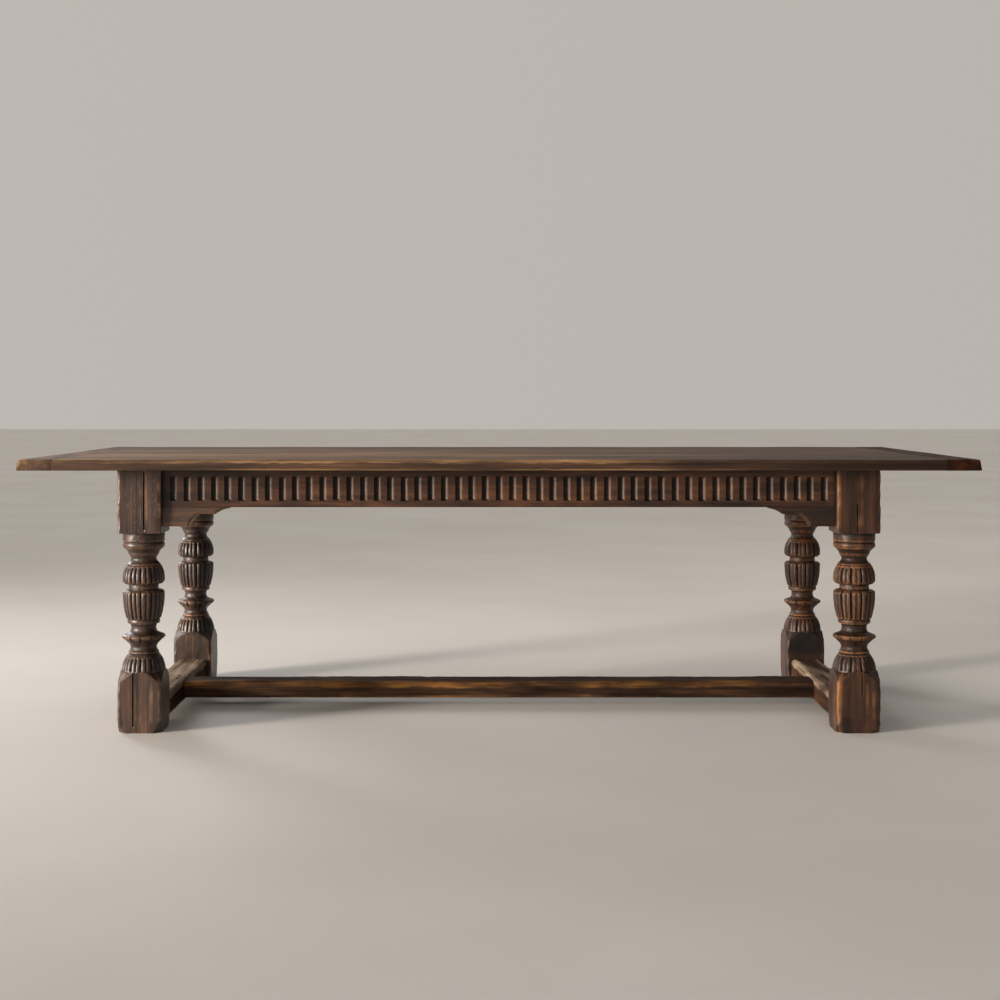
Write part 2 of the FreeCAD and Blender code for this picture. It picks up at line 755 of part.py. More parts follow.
def end_stretcher(name):
    """The bar between a front and a rear foot, with the long stretcher's mortise in its +X side."""
    body = new_body(name)
    tall = s.stretcher_tenon_height / 2
    wide = s.stretcher_tenon_width / 2
    middle = s.end_stretcher_height / 2
    section = sketch_on(body, name + "_section", "XZ_Plane")
    worn_section(section, s.end_stretcher_width, s.end_stretcher_height)
    pad(body, name + "_bar", section, end_rail_clear, "Symmetric")
    tenon = sketch_on(body, name + "_tenon", "XZ_Plane")
    rectangle(tenon, -wide, middle - tall, wide, middle + tall)
    pad(body, name + "_tenons", tenon, end_rail_clear + s.stretcher_tenon_length * 2, "Symmetric")
    pegs = sketch_on(body, name + "_foot_pegs", "YZ_Plane")
    for end in (-1, 1):
        along = (end_rail_clear + s.stretcher_tenon_length) / 2 * end
        peg_hole(pegs, along, middle, s.stretcher_peg_radius)
    cut(body, "Pocket", name + "_foot_peg_holes", pegs, SideType="Symmetric",
        Length=s.end_stretcher_width * 2)
    mouth = sketch_on(body, name + "_mouth", "YZ_Plane", (0, 0, s.end_stretcher_width / 2))
    level = long_stretcher_mid - s.end_stretcher_clear
    rectangle(mouth, -wide - s.fit_gap, level - tall - s.fit_gap, wide + s.fit_gap, level + tall + s.fit_gap)
    cut(body, "Pocket", name + "_mortise", mouth, Length=s.stretcher_tenon_length + s.fit_gap)
    down = sketch_on(body, name + "_pegs", "XY_Plane", (0, 0, s.end_stretcher_height))
    for end in (-1, 1):
        across = (s.end_stretcher_width - s.stretcher_tenon_length) / 2
        peg_hole(down, across, s.stretcher_peg_spread / 2 * end, s.stretcher_peg_radius)
    cut(body, "Pocket", name + "_peg_holes", down, Length=stretcher_peg_length)
    place(body, -leg_x, 0, s.end_stretcher_clear)
    return node(name, body)


def long_stretcher():
    """The bar along the middle, tenoned into both end stretchers."""
    name = "long_stretcher"
    body = new_body(name)
    clear = leg_x * 2 - s.end_stretcher_width
    tall = s.stretcher_tenon_height / 2
    wide = s.stretcher_tenon_width / 2
    middle = s.long_stretcher_height / 2
    section = sketch_on(body, name + "_section", "YZ_Plane")
    worn_section(section, s.long_stretcher_width, s.long_stretcher_height)
    pad(body, name + "_bar", section, clear, "Symmetric")
    tenon = sketch_on(body, name + "_tenon", "YZ_Plane")
    rectangle(tenon, -wide, middle - tall, wide, middle + tall)
    pad(body, name + "_tenons", tenon, clear + s.stretcher_tenon_length * 2, "Symmetric")
    pegs = sketch_on(body, name + "_pegs", "XY_Plane", (0, 0, s.long_stretcher_height))
    for side in (-1, 1):
        for end in (-1, 1):
            along = (clear + s.stretcher_tenon_length) / 2 * side
            peg_hole(pegs, along, s.stretcher_peg_spread / 2 * end, s.stretcher_peg_radius)
    cut(body, "Pocket", name + "_peg_holes", pegs, Length=s.long_stretcher_height)
    place(body, 0, 0, s.long_stretcher_clear)
    node(name, body)


def cross_bearer(name):
    """A bearer under the top, stub-tenoned into the inner faces of the long rails."""
    body = new_body(name)
    clear = (rail_face_y - s.rail_thick) * 2
    half = s.bearer_thick / 2
    section = sketch_on(body, name + "_section", "XZ_Plane")
    rectangle(section, -half, 0, half, s.bearer_height)
    pad(body, name + "_bar", section, clear, "Symmetric")
    tenon = sketch_on(body, name + "_tenon", "XZ_Plane")
    rectangle(tenon, s.bearer_tenon_thick / -2, s.bearer_tenon_shoulder, s.bearer_tenon_thick / 2,
              s.bearer_height - s.bearer_tenon_shoulder)
    pad(body, name + "_tenons", tenon, clear + s.bearer_tenon_length * 2, "Symmetric")
    place(body, bearer_places[0], 0, leg_height - s.bearer_height)
    return node(name, body)


TO_BACK = FreeCAD.Rotation(FreeCAD.Vector(1, 0, 0), -90)
TO_RIGHT = FreeCAD.Rotation(FreeCAD.Vector(0, 1, 0), 90)
UPRIGHT = FreeCAD.Rotation()


def peg(name, radius, length, x, y, z, rotation):
    """A riven peg with flat sides, standing on a point or laid along X or Y from it."""
    item = doc.addObject("Part::Prism", name)
    item.Polygon = PEG_SIDES
    bind(item, "Circumradius", radius)
    bind(item, "Height", length)
    place(item, x, y, z, rotation)
    return item


def group(label, members):
    """Like pieces that share one node."""
    item = doc.addObject("Part::Compound", label + "_group")
    item.Links = members
    node(label, item)


def rail_pegs():
    """Two pegs through each leg into each rail tenon: front and rear ones along Y, end ones along X."""
    pegs = []
    inset = leg_half - s.rail_peg_inset
    for side_x in (-1, 1):
        for side_y in (-1, 1):
            for level in (rail_bottom + rail_peg_low, rail_bottom + rail_peg_high):
                outer_y = (leg_y + leg_half) * side_y
                start_y = outer_y if side_y < 0 else outer_y - rail_peg_length
                pegs.append(peg("long_rail_peg", s.rail_peg_radius, rail_peg_length,
                                (leg_x - inset) * side_x, start_y, level, TO_BACK))
                outer_x = (leg_x + leg_half) * side_x
                start_x = outer_x if side_x < 0 else outer_x - rail_peg_length
                pegs.append(peg("end_rail_peg", s.rail_peg_radius, rail_peg_length,
                                start_x, (leg_y - inset) * side_y, level, TO_RIGHT))
    group("rail_pegs", pegs)


def foot_pegs():
    """One peg through each foot into the end stretcher's tenon."""
    pegs = []
    for side_x in (-1, 1):
        outer = (leg_x + leg_half) * side_x
        start = outer if side_x < 0 else outer - foot_peg_length
        for side_y in (-1, 1):
            y = (end_rail_clear + s.stretcher_tenon_length) / 2 * side_y
            pegs.append(peg("foot_peg", s.stretcher_peg_radius, foot_peg_length, start, y,
                            end_stretcher_mid, TO_RIGHT))
    group("foot_pegs", pegs)


def stretcher_pegs():
    """Two upright pegs in each end stretcher, through the long stretcher's tenons."""
    pegs = []
    for side in (-1, 1):
        x = (leg_x - (s.end_stretcher_width - s.stretcher_tenon_length) / 2) * side
        for end in (-1, 1):
            y = s.stretcher_peg_spread / 2 * end
            pegs.append(peg("stretcher_peg", s.stretcher_peg_radius, stretcher_peg_length, x, y,
                            end_stretcher_top - stretcher_peg_length, UPRIGHT))
    group("stretcher_pegs", pegs)


def cleat_pegs():
    """One peg through each cleat for every board, flush with the top."""
    pegs = []
    for side in (-1, 1):
        for index in range(BOARD_COUNT):
            y = board_width * (index - (BOARD_COUNT - 1) / 2)
            x = (board_shoulder + s.cleat_peg_inset) * side
            pegs.append(peg("cleat_peg", s.cleat_peg_radius, cleat_peg_length, x, y, leg_height + tongue_low,
                            UPRIGHT))
    group("cleat_pegs", pegs)


def button(x, y, inward):
    """A button at a point of the top, and the direction from its rail. Its tongue fits the rail's groove."""
    height = s.button_groove_drop + s.button_groove_height
    tongue = s.button_stand_off + s.button_groove_depth - s.fit_gap
    half_length = s.button_length / 2
    half_width = s.button_width / 2
    turn = turned(math.degrees(math.atan2(inward[1], inward[0])))
    block = doc.addObject("Part::Box", "button_block")
    lip = doc.addObject("Part::Box", "button_tongue")
    for item, length, tall, back in ((block, s.button_length, height, half_length),
                                     (lip, tongue, s.button_groove_height, half_length + tongue)):
        bind(item, "Length", length)
        bind(item, "Width", s.button_width)
        bind(item, "Height", tall)
        corner_x = x - back * inward[0] + half_width * inward[1]
        corner_y = y - back * inward[1] - half_width * inward[0]
        place(item, corner_x, corner_y, leg_height - height, turn)
    whole = doc.addObject("Part::Fuse", "button")
    whole.Base = block
    whole.Tool = lip
    whole.Refine = True
    return whole


def top_buttons():
    """A row of buttons along every rail."""
    buttons = []
    for side in (-1, 1):
        for index in range(LONG_RAIL_BUTTONS):
            along = s.button_pitch * (index - (LONG_RAIL_BUTTONS - 1) / 2)
            buttons.append(button(along, (rail_face_y - button_reach) * side, (0, -side)))
        for index in range(END_RAIL_BUTTONS):
            across = board_width * (index - (END_RAIL_BUTTONS - 1) / 2)
            buttons.append(button((rail_face_x - button_reach) * side, across, (-side, 0)))
    group("top_buttons", buttons)


for board in range(BOARD_COUNT):
    top_board(board)
mirrored("cleat_left", cleat("cleat_right"), LEFT_RIGHT)

front_left = leg("leg_front_left")
mirrored_round(front_left, "leg_front_right", "leg_rear_left", "leg_rear_right")

front_rail = rail("rail_front", long_rail_clear, 0, 0, -rail_face_y, True)
mirrored("rail_rear", front_rail, FRONT_REAR)
left_rail = rail("rail_left", end_rail_clear, -90, -rail_face_x, 0, False)
mirrored("rail_right", left_rail, LEFT_RIGHT)

long_bracket = bracket("bracket_front_left", 1, 0, leg_half - leg_x, -rail_face_y)
mirrored_round(long_bracket, "bracket_front_right", "bracket_rear_left", "bracket_rear_right")
end_bracket = bracket("bracket_left_front", -1, -90, -rail_face_x, leg_half - leg_y)
mirrored_round(end_bracket, "bracket_right_front", "bracket_left_rear", "bracket_right_rear")

mirrored("end_stretcher_right", end_stretcher("end_stretcher_left"), LEFT_RIGHT)
long_stretcher()
mirrored("cross_bearer_right", cross_bearer("cross_bearer_left"), LEFT_RIGHT)

rail_pegs()
foot_pegs()
stretcher_pegs()
cleat_pegs()
top_buttons()

doc.recompute()
failed = [item.Name for item in doc.Objects if "Invalid" in item.State or "Error" in item.State]
if failed:
    raise RuntimeError(f"failed objects: {failed}")
for item in NODES:
    if item.Shape.isNull() or not item.Shape.isValid():
        raise RuntimeError(f"{item.Label} has no valid shape")

os.makedirs("parts", exist_ok=True)
for item in NODES:
    item.Shape.exportStep(f"parts/{item.Label}.step")
    print(item.Label, len(item.Shape.Solids), round(item.Shape.Volume))
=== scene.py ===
# %% [markdown]
# # An oak refectory table, dressed for the studio
# The table is a long joined one: a plank top with a cleat across each end, four turned and carved legs,
# a frieze of gouged flutes, shaped brackets and a low H of stretchers.
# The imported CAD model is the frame. Each step below builds one kind of piece over it, with the wear,
# tool marks and colour that long use gives to oak.
# The wear could be sculpted by hand. Here short formulas make it, so that any piece can be built again.

# %% Load the frame
import math
import bpy
import numpy as np
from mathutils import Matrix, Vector


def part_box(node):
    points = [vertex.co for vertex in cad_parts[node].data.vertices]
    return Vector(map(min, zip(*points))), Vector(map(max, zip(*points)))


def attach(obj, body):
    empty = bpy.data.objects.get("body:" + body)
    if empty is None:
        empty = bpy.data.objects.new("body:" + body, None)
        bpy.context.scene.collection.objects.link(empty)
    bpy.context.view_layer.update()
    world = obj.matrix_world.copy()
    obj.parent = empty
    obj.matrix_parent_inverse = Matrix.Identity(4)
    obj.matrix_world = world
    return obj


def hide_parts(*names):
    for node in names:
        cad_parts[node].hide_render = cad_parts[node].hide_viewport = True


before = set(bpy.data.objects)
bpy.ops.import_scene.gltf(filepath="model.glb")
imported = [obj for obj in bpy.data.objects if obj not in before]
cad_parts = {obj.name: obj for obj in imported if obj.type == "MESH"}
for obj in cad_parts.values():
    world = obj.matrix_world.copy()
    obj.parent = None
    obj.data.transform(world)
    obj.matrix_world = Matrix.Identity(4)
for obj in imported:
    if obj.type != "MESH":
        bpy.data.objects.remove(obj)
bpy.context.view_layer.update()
MM = 0.001
print("nodes in the frame:", len(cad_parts))

# %% [markdown]
# ## Where things stand
# Everything is placed from the boxes of the CAD nodes, so the dressed pieces sit where the solids are.
# The places could be typed as numbers, but those would be wrong as soon as a solid changes.
# The table is symmetrical, so a few boxes give nearly all of them.

# %% Measure the frame
leg_low, leg_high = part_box("leg_front_left")
rail_low, rail_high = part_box("rail_front")
leg_half = (leg_high.x - leg_low.x) / 2
leg_x = -(leg_low.x + leg_high.x) / 2
leg_y = -(leg_low.y + leg_high.y) / 2
leg_height = leg_high.z
rail_face_y = -rail_low.y
rail_face_x = -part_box("rail_left")[0].x
rail_thick = rail_high.y - rail_low.y
rail_height = rail_high.z - rail_low.z
top_low, top_high = (corner.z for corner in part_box("top_board_1"))
print(f"legs at {leg_x:.4f} by {leg_y:.4f} m, top from {top_low:.3f} to {top_high:.3f} m")

# %% [markdown]
# ## Camera
# The photograph was taken from the front, level, a little above the top and about 4.7 m away.
# The camera could be tilted down to frame the table, but then the legs would lean together.
# A lens shift frames the view lower and keeps the uprights parallel.

# %% Set the camera
CAMERA_PLACE = (0, -4.7175, 0.930)
LENS, SENSOR = 55.8, 36  # both in mm
LENS_SHIFT = (0.001, -0.103)  # shares of the sensor's width

camera_data = bpy.data.cameras.new("camera")
camera_data.lens = LENS
camera_data.sensor_width = SENSOR
camera_data.shift_x, camera_data.shift_y = LENS_SHIFT
camera = bpy.data.objects.new("camera", camera_data)
camera.location = CAMERA_PLACE
camera.rotation_euler = (math.radians(90), 0, 0)
bpy.context.scene.collection.objects.link(camera)
bpy.context.scene.camera = camera
print("camera at", tuple(round(amount, 3) for amount in camera.location))

# %% [markdown]
# ## Colours and nodes
# A material is a net of nodes. It could be drawn in Blender's node editor, but written down it can be
# read and repeated, so one small function adds any node with its settings and links.
# Colours are picked as sRGB hex values, and another function turns them into Blender's linear light.


# %% Colours and nodes
def linear(hex_colour):
    """An sRGB hex colour as linear red, green, blue and alpha."""
    parts = [int(hex_colour[start:start + 2], 16) / 255 for start in (1, 3, 5)]
    return [part / 12.92 if part <= 0.04045 else ((part + 0.055) / 1.055) ** 2.4 for part in parts] + [1]


def add(tree, kind, inputs=(), output=0, stops=(), **settings):
    """Adds one node and gives one of its outputs.

    Inputs come in their order, or by name or number in a dict: a number, a colour or another node's
    output. Stops are the places and hex colours of a ramp."""
    node = tree.nodes.new(kind)
    for key, value in settings.items():
        setattr(node, key, value)
    for key, value in inputs.items() if isinstance(inputs, dict) else enumerate(inputs):
        if isinstance(value, bpy.types.NodeSocket):
            tree.links.new(value, node.inputs[key])
        else:
            node.inputs[key].default_value = value
    bar = node.color_ramp.elements if stops else ()
    while len(bar) < len(stops):
        bar.new(0.5)
    for mark, (place, colour) in zip(bar, stops):
        mark.position = place
        mark.color = linear(colour)
    return node.outputs[output]


print("middle grey in linear light:", round(linear("#808080")[0], 3))

# %% [markdown]
# ## Grain
# Oak shows growth rings as long streaks, and open pores as short dark dashes along them. Broader bands
# and clouds come from the way a plank was sawn, and one tree differs from the next.
# A picture of wood could be wrapped round each piece. Noise that is stretched along the fibres has no
# seams, and it runs through a piece as real grain does.
# Oak's rings are 2 to 5 mm wide and are drawn at the wide end of that. Its pores are about 0.3 mm wide,
# too fine to show in the render, so they are drawn 1.6 mm wide.

# %% Grain
RING_WIDTH = 5  # mm


def grain_layers(tree, place, ring_width, run):
    """Noise over a place in the plank, in layers. Run lengthens the streaks, bands and clouds."""
    # Each layer has its length along the fibres and its width in mm, detail, roughness and distortion.
    sizes = {
        "streaks": (330 * run, ring_width, 5, 0.6, 0.6),
        "bands": (200 * run, 22, 3, 0.5, 0.0),
        "clouds": (290 * run, 90, 3, 0.55, 0.0),
        "pores": (22, 1.6, 2, 0.5, 0.0),
        "trees": (3300, 1250, 0, 0.55, 0.0),
    }
    layers = {}
    for name, (along, across, detail, roughness, distortion) in sizes.items():
        scale = (1 / (along * MM), 1 / (across * MM), 1 / (across * MM))
        stretched = add(tree, "ShaderNodeVectorMath", (place, scale), operation="MULTIPLY")
        layers[name] = add(tree, "ShaderNodeTexNoise", {
            "Vector": stretched, "Scale": 1.0, "Detail": detail, "Roughness": roughness,
            "Distortion": distortion})
    return layers


print("width of a growth ring on most pieces:", RING_WIDTH, "mm")

# %% [markdown]
# ## Dirt, painted shade and rubbing
# On an old table wax and dirt darken the hollows, while hands, feet and dusters rub the edges back to a
# warmer, lighter brown. The same darkening also serves as painted shade, and the same lightening as a
# painted sheen. A mask could be painted for that, but each piece knows its hollows and edges from the
# way it is built. So it carries two values of its own on its points.
# `grain` is the place in the plank, first along the fibres and then across them. `worn`
# runs from 0, for a dirty hollow and for painted shade, over 0.5 on a plain face, to 1, for a rubbed edge
# and for a painted sheen.

# %% Dirt, painted shade and rubbing
# Places darken below the first value, for dirt and painted shade, and lighten above RUB_FROM, for rubbing
# and painted sheen.
DARKENING_FROM, DARKENING_FULL = 0.46, 0.08
RUB_FROM, RUB_FULL = 0.55, 1.0


def dirt_shade_and_rubbing(tree, tone, colour, rough, hollow, rubbed):
    """Darkens grime and painted shade, lightens rubbing and painted sheen, more where the grain is light,
    and dulls both.
    """
    worn = add(tree, "ShaderNodeAttribute", output="Fac", attribute_name="worn")
    dirt_and_shade = add(tree, "ShaderNodeMapRange", (worn, DARKENING_FROM, DARKENING_FULL, 0.0, 0.92))
    colour = add(tree, "ShaderNodeMix", {0: dirt_and_shade, 6: colour, 7: linear(hollow)}, 2, data_type="RGBA")
    rub = add(tree, "ShaderNodeMapRange", (worn, RUB_FROM, RUB_FULL, 0.0, 1.15))
    patches = add(tree, "ShaderNodeMapRange", (tone, 0.42, 0.56, 0.12, 1.0))
    rub = add(tree, "ShaderNodeMath", (rub, patches), operation="MULTIPLY", use_clamp=True)
    colour = add(tree, "ShaderNodeMix", {0: rub, 6: colour, 7: linear(rubbed)}, 2, data_type="RGBA")
    for layer, share in ((dirt_and_shade, 0.22), (rub, 0.12)):
        rough = add(tree, "ShaderNodeMath", (layer, share, rough), operation="MULTIPLY_ADD")
    return colour, rough


print("dirt shows below", DARKENING_FROM, "and rubbing above", RUB_FROM)

# %% [markdown]
# ## Oak
# Waxed oak isn't a metal, and its IOR is near that of most woods and waxes, 1.5. Pores and brushed wax
# spread what it reflects, so it has a broad sheen and no mirror image.
# Each oak of the table could have a net of its own. They differ only in tone and finish, so one function
# makes them all: four tones along the layers of grain, pores, then dirt, painted shade and rubbing, and a
# slight bump.

# %% Oak
TONE_PLACES = (0.38, 0.465, 0.535, 0.63)
OAK_IOR = 1.5
WAX_ROUGHNESS = 0.3
BUMP_HEIGHT = 0.8 * MM


def oak(name, tones, hollow, rubbed, roughness, shine=0.5, wax=0.0, dressed=True, ring_width=RING_WIDTH,
        run=1.0):
    """Oak in four tones, with the colours of its hollows and of its rubbed places.

    Shine is the strength of its reflection and wax the share of a clear coat. A solid that isn't dressed
    shows no wear, and its grain lies along x."""
    material = bpy.data.materials.new(name)
    material.use_nodes = True
    tree = material.node_tree
    if dressed:
        place = add(tree, "ShaderNodeAttribute", output="Vector", attribute_name="grain")
    else:
        place = add(tree, "ShaderNodeTexCoord", output="Object")
    grain = grain_layers(tree, place, ring_width, run)
    streaks = grain["streaks"]
    tone = add(tree, "ShaderNodeMath", (streaks, 0.30), operation="MULTIPLY")
    for layer, share in (("bands", 0.32), ("clouds", 0.22), ("trees", 0.16)):
        tone = add(tree, "ShaderNodeMath", (grain[layer], share, tone), operation="MULTIPLY_ADD")
    colour = add(tree, "ShaderNodeValToRGB", (tone,), stops=list(zip(TONE_PLACES, tones)))
    pores = add(tree, "ShaderNodeMapRange", (grain["pores"], 0.36, 0.30, 0.0, 1.0))
    filled = add(tree, "ShaderNodeMix", {0: 0.65, 6: colour, 7: linear(hollow)}, 2, data_type="RGBA")
    colour = add(tree, "ShaderNodeMix", {0: pores, 6: colour, 7: filled}, 2, data_type="RGBA")
    rough = add(tree, "ShaderNodeMapRange", (streaks, 0.3, 0.7, roughness - 0.06, roughness + 0.10))
    if dressed:
        colour, rough = dirt_shade_and_rubbing(tree, tone, colour, rough, hollow, rubbed)
    height = add(tree, "ShaderNodeMath", (pores, -0.6, streaks), operation="MULTIPLY_ADD")
    bump = add(tree, "ShaderNodeBump", {"Height": height, "Strength": 0.35, "Distance": BUMP_HEIGHT})
    shader = tree.nodes["Principled BSDF"].inputs
    for key, source in (("Base Color", colour), ("Roughness", rough), ("Normal", bump)):
        tree.links.new(source, shader[key])
    for key, amount in (("IOR", OAK_IOR), ("Specular IOR Level", shine), ("Coat Weight", wax),
                        ("Coat Roughness", WAX_ROUGHNESS)):
        shader[key].default_value = amount
    return material


print("pores and streaks raise a bump of", BUMP_HEIGHT / MM, "mm")

# %% [markdown]
# ## The oaks of this table
# The pieces come from several trees and have had different lives. The legs were turned, carved and waxed,
# the top was planed and has been scrubbed and waxed since, shoes have dulled the stretchers, and what
# can't be reached was only sawn.
# One oak for all would be simpler, but then the ends, the top and the feet would look like one casting.

# %% The oaks of this table
# Turned, carved and waxed: a deep brown that gleams softly on the swellings.
frame_oak = oak("dark_oak_turned_carved_and_waxed", ("#1d120c", "#34231a", "#493225", "#684731"),
                "#0a0604", "#8e6746", roughness=0.40, wax=0.08)
# Carved and waxed too, from a warmer tree: redder, with less gleam, and darker as a painted shade
# for the right end and the frieze.
warm_oak_painted_darker = oak("warm_oak_carved_waxed_and_painted_darker", ("#1a0f09", "#2f1d13", "#432a1c", "#613e27"),
               "#080503", "#8e5f38", roughness=0.43, shine=0.34, wax=0.05)
# Planed, worn and waxed: wide, long streaks and a dull, broad sheen.
top_oak = oak("oak_planks_worn_and_waxed", ("#24160e", "#3c291c", "#553b2a", "#78563a"),
              "#1d0d04", "#9a7753", roughness=0.58, shine=0.26, ring_width=7, run=1.7)
# Planed and waxed, little used: an even red-brown, darker than the boards beside it.
cleat_oak = oak("red_brown_oak_planed_and_waxed", ("#140703", "#281207", "#3b1e0d", "#563316"),
                "#0a0503", "#7c4f26", roughness=0.6, shine=0.12, ring_width=7)
# Rubbed by shoes: dull, with honey-coloured edges.
shoe_oak = oak("oak_rubbed_dull_by_shoes", ("#1f130c", "#36251a", "#4d3625", "#725132"),
               "#0a0604", "#8f6232", roughness=0.72, shine=0.1)
# Trodden until the wax is gone: dry and pale on top, with no gleam. The pale top is also
# a painted reflection of the light from the left.
trodden_oak_painted_sheen = oak("oak_trodden_dry_with_painted_sheen", ("#1b100a", "#301f16", "#453020", "#6a4a2c"),
                  "#0a0604", "#ab9680", roughness=0.75, shine=0.06)
# Sawn and never waxed: lighter and matt, in the shade under the top.
inner_oak = oak("sawn_oak_unwaxed", ("#3a291c", "#54402d", "#6a523a", "#80664a"),
                "#1d140d", "#80664a", roughness=0.62, dressed=False)
# Riven and driven flush: small ends that have drunk dirt and wax, so they are dark.
peg_oak = oak("riven_oak_pegs", ("#191109", "#281c14", "#38281d", "#4c3726"),
              "#0a0604", "#4c3726", roughness=0.5, dressed=False, ring_width=3)
print("oaks:", [material.name for material in bpy.data.materials if "oak" in material.name])

# %% [markdown]
# ## Shared ways of building
# Every dressed piece is a skin over a grid of points: outlines stand in rows, and each row is joined to
# the next. Modifiers on a plain box could do some of this, but a grid puts points just where a cut or a
# worn edge needs them.
# A seeded ripple, a sum of a few waves, stands for what plane, gouge and wear leave uneven.
# It takes wood away, so no piece grows out of its solid.


# %% Building helpers
def ripple(seed, lengths, *places):
    """A smooth, seeded wander from about -1 to 1 over places in metres, of waves of these lengths."""
    picks = np.random.default_rng(seed)
    total = 0.0
    for length in lengths:
        turn = picks.uniform(0, 2 * math.pi)
        for place in places:
            turn = turn + place * (2 * math.pi / length * picks.uniform(0.7, 1.3) * picks.choice((-1, 1)))
        total = total + np.sin(turn)
    return total / len(lengths)


def step(low, high, amount):
    """0 below the low value, 1 above the high one, and an even S between them."""
    share = np.clip((amount - low) / (high - low), 0, 1)
    return share * share * (3 - 2 * share)


def skin(rows):
    """Points and faces of a tube with closed ends, over an array of outlines of equal counts."""
    count, around = rows.shape[:2]
    first = np.arange(count * around).reshape(count, around)
    after = np.roll(first, -1, axis=1)
    faces = np.stack([first[:-1], after[:-1], after[1:], first[1:]], axis=-1).reshape(-1, 4).tolist()
    faces += [first[0][::-1].tolist(), first[-1].tolist()]
    return rows.reshape(-1, 3), faces


def finish_piece(name, points, faces, grain, worn, nodes, material, turn=0.0, shift=(0, 0, 0),
                 sharp=38):
    """Makes the mesh of a piece, turned about Z and shifted to its place, and enters it in the frame."""
    mesh = bpy.data.meshes.new(name)
    cos, sin = round(math.cos(turn), 9), round(math.sin(turn), 9)
    spun = points @ np.array([[cos, sin, 0], [-sin, cos, 0], [0, 0, 1]]) + np.array(shift)
    mesh.from_pydata(spun.tolist(), [], faces)
    seed = sum(ord(letter) for letter in name)
    in_tree = grain + np.random.default_rng(seed).uniform(0, 9, 3)
    mesh.attributes.new("grain", "FLOAT_VECTOR", "POINT").data.foreach_set("vector", in_tree.ravel())
    mesh.attributes.new("worn", "FLOAT", "POINT").data.foreach_set("value", np.clip(worn, 0, 1).ravel())
    mesh.polygons.foreach_set("use_smooth", [True] * len(mesh.polygons))
    mesh.set_sharp_from_angle(angle=math.radians(sharp))
    mesh.materials.append(material)
    mesh.update()
    piece = bpy.data.objects.new(name, mesh)
    bpy.context.scene.collection.objects.link(piece)
    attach(piece, "root")
    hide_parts(*nodes)
    return piece


print("a ripple at 0, 20 and 40 mm:", ripple(1, (0.1,), np.array([0, 20, 40]) * MM).round(2))

# %% [markdown]
# ## The turned profile of a leg
# A turner shapes the square blank on the lathe, and leaves the block for the rails and the foot square.
# From the foot up come a bell, a disc, a cup, its cover and a collar, with necks and rings between them.
# The profile could be a drawn curve. A list of arcs and shallow bows, with radius and level in mm, says
# the same in the turner's own terms.

# %% Leg profile
FOOT_TOP = 136 * MM
SHOULDER = 166 * MM
SHOULDER_CUT = 27.5 * MM
FOOT_CUT = 16 * MM
FOOT_WEAR = 38 * MM
BLOCK_LOW = 552.5 * MM
BELL, CUP, COVER = (166 * MM, 215 * MM), (310 * MM, 391 * MM), (409 * MM, 461 * MM)


def along(begin, finish, bow, count):
    """Points from one (radius, level) towards another, on a curve that stands out by the bow."""
    share = np.linspace(0, 1, count, endpoint=False)[:, None]
    points = np.array(begin) * (1 - share) + np.array(finish) * share
    points[:, :1] += 4 * bow * share * (1 - share)
    return points


def swelling(radius, curve, widest, low, high, count):
    """Points up a swelling that was turned on an arc."""
    level = np.linspace(low, high, count)
    return np.stack([radius - curve + np.sqrt(curve ** 2 - (level - widest) ** 2), level], axis=1)


profile = np.concatenate([
    swelling(60, 71, 166, 166, 214.4, 26),
    along((41.0, 215), (41.0, 220), 1.0, 5),
    along((40.5, 220.4), (38.5, 239.5), -3.6, 12),
    along((39, 240), (56.8, 256.6), -0.8, 13),
    along((57.2, 257), (57.2, 265), 2.0, 9),
    along((56.4, 265.4), (38, 273.6), -1.2, 9),
    along((37.6, 274), (37.6, 297.6), -3.2, 12),
    along((43.2, 298), (43.2, 309.4), 1.6, 9),
    along((44.0, 310), (47.4, 312.6), 0, 3),
    swelling(57.6, 225, 378, 313, 387, 36),
    along((57.2, 387.6), (52.6, 391), 0, 5),
    along((40.2, 391.2), (40.2, 408.6), 0.6, 8),
    along((52.2, 409), (56.6, 411.8), 0, 4),
    swelling(58, 66, 424, 412.2, 460.8, 28),
    along((45, 461), (45, 464), 0.5, 4),
    along((44.6, 464.4), (37.6, 485.6), -5.4, 14),
    along((38, 486), (43, 497.6), 1.2, 8),
    along((43.4, 498), (55, 508.8), -1.2, 7),
    along((55.2, 509), (55.2, 525), 2.8, 12),
    along((55.4, 525.4), (57.6, 528), 0, 4),
    along((57.8, 528.4), (57.8, 552.3), 0, 8),
]) * MM
print("profile rows:", len(profile), "widest radius:", round(profile[:, 0].max() / MM, 1), "mm")

# %% [markdown]
# ## The carving of a leg
# After the turner a carver cuts the swellings into lobes: a V cut between two lobes, and a shallow gouge
# cut down the middle of each. The lobes of the cup end above in little arches, those of the cover are
# rounded below, and the rim of the disc is notched.
# Each cut could be taken away with a boolean, which leaves a ragged mesh. A formula for the depth at each
# angle and level leaves the grid whole.

# %% Leg carving
LOBES = 12
LOBE_TURN = 2 * math.pi / LOBES
DISC_NOTCH, DISC_RIM = 256 * MM, 263 * MM


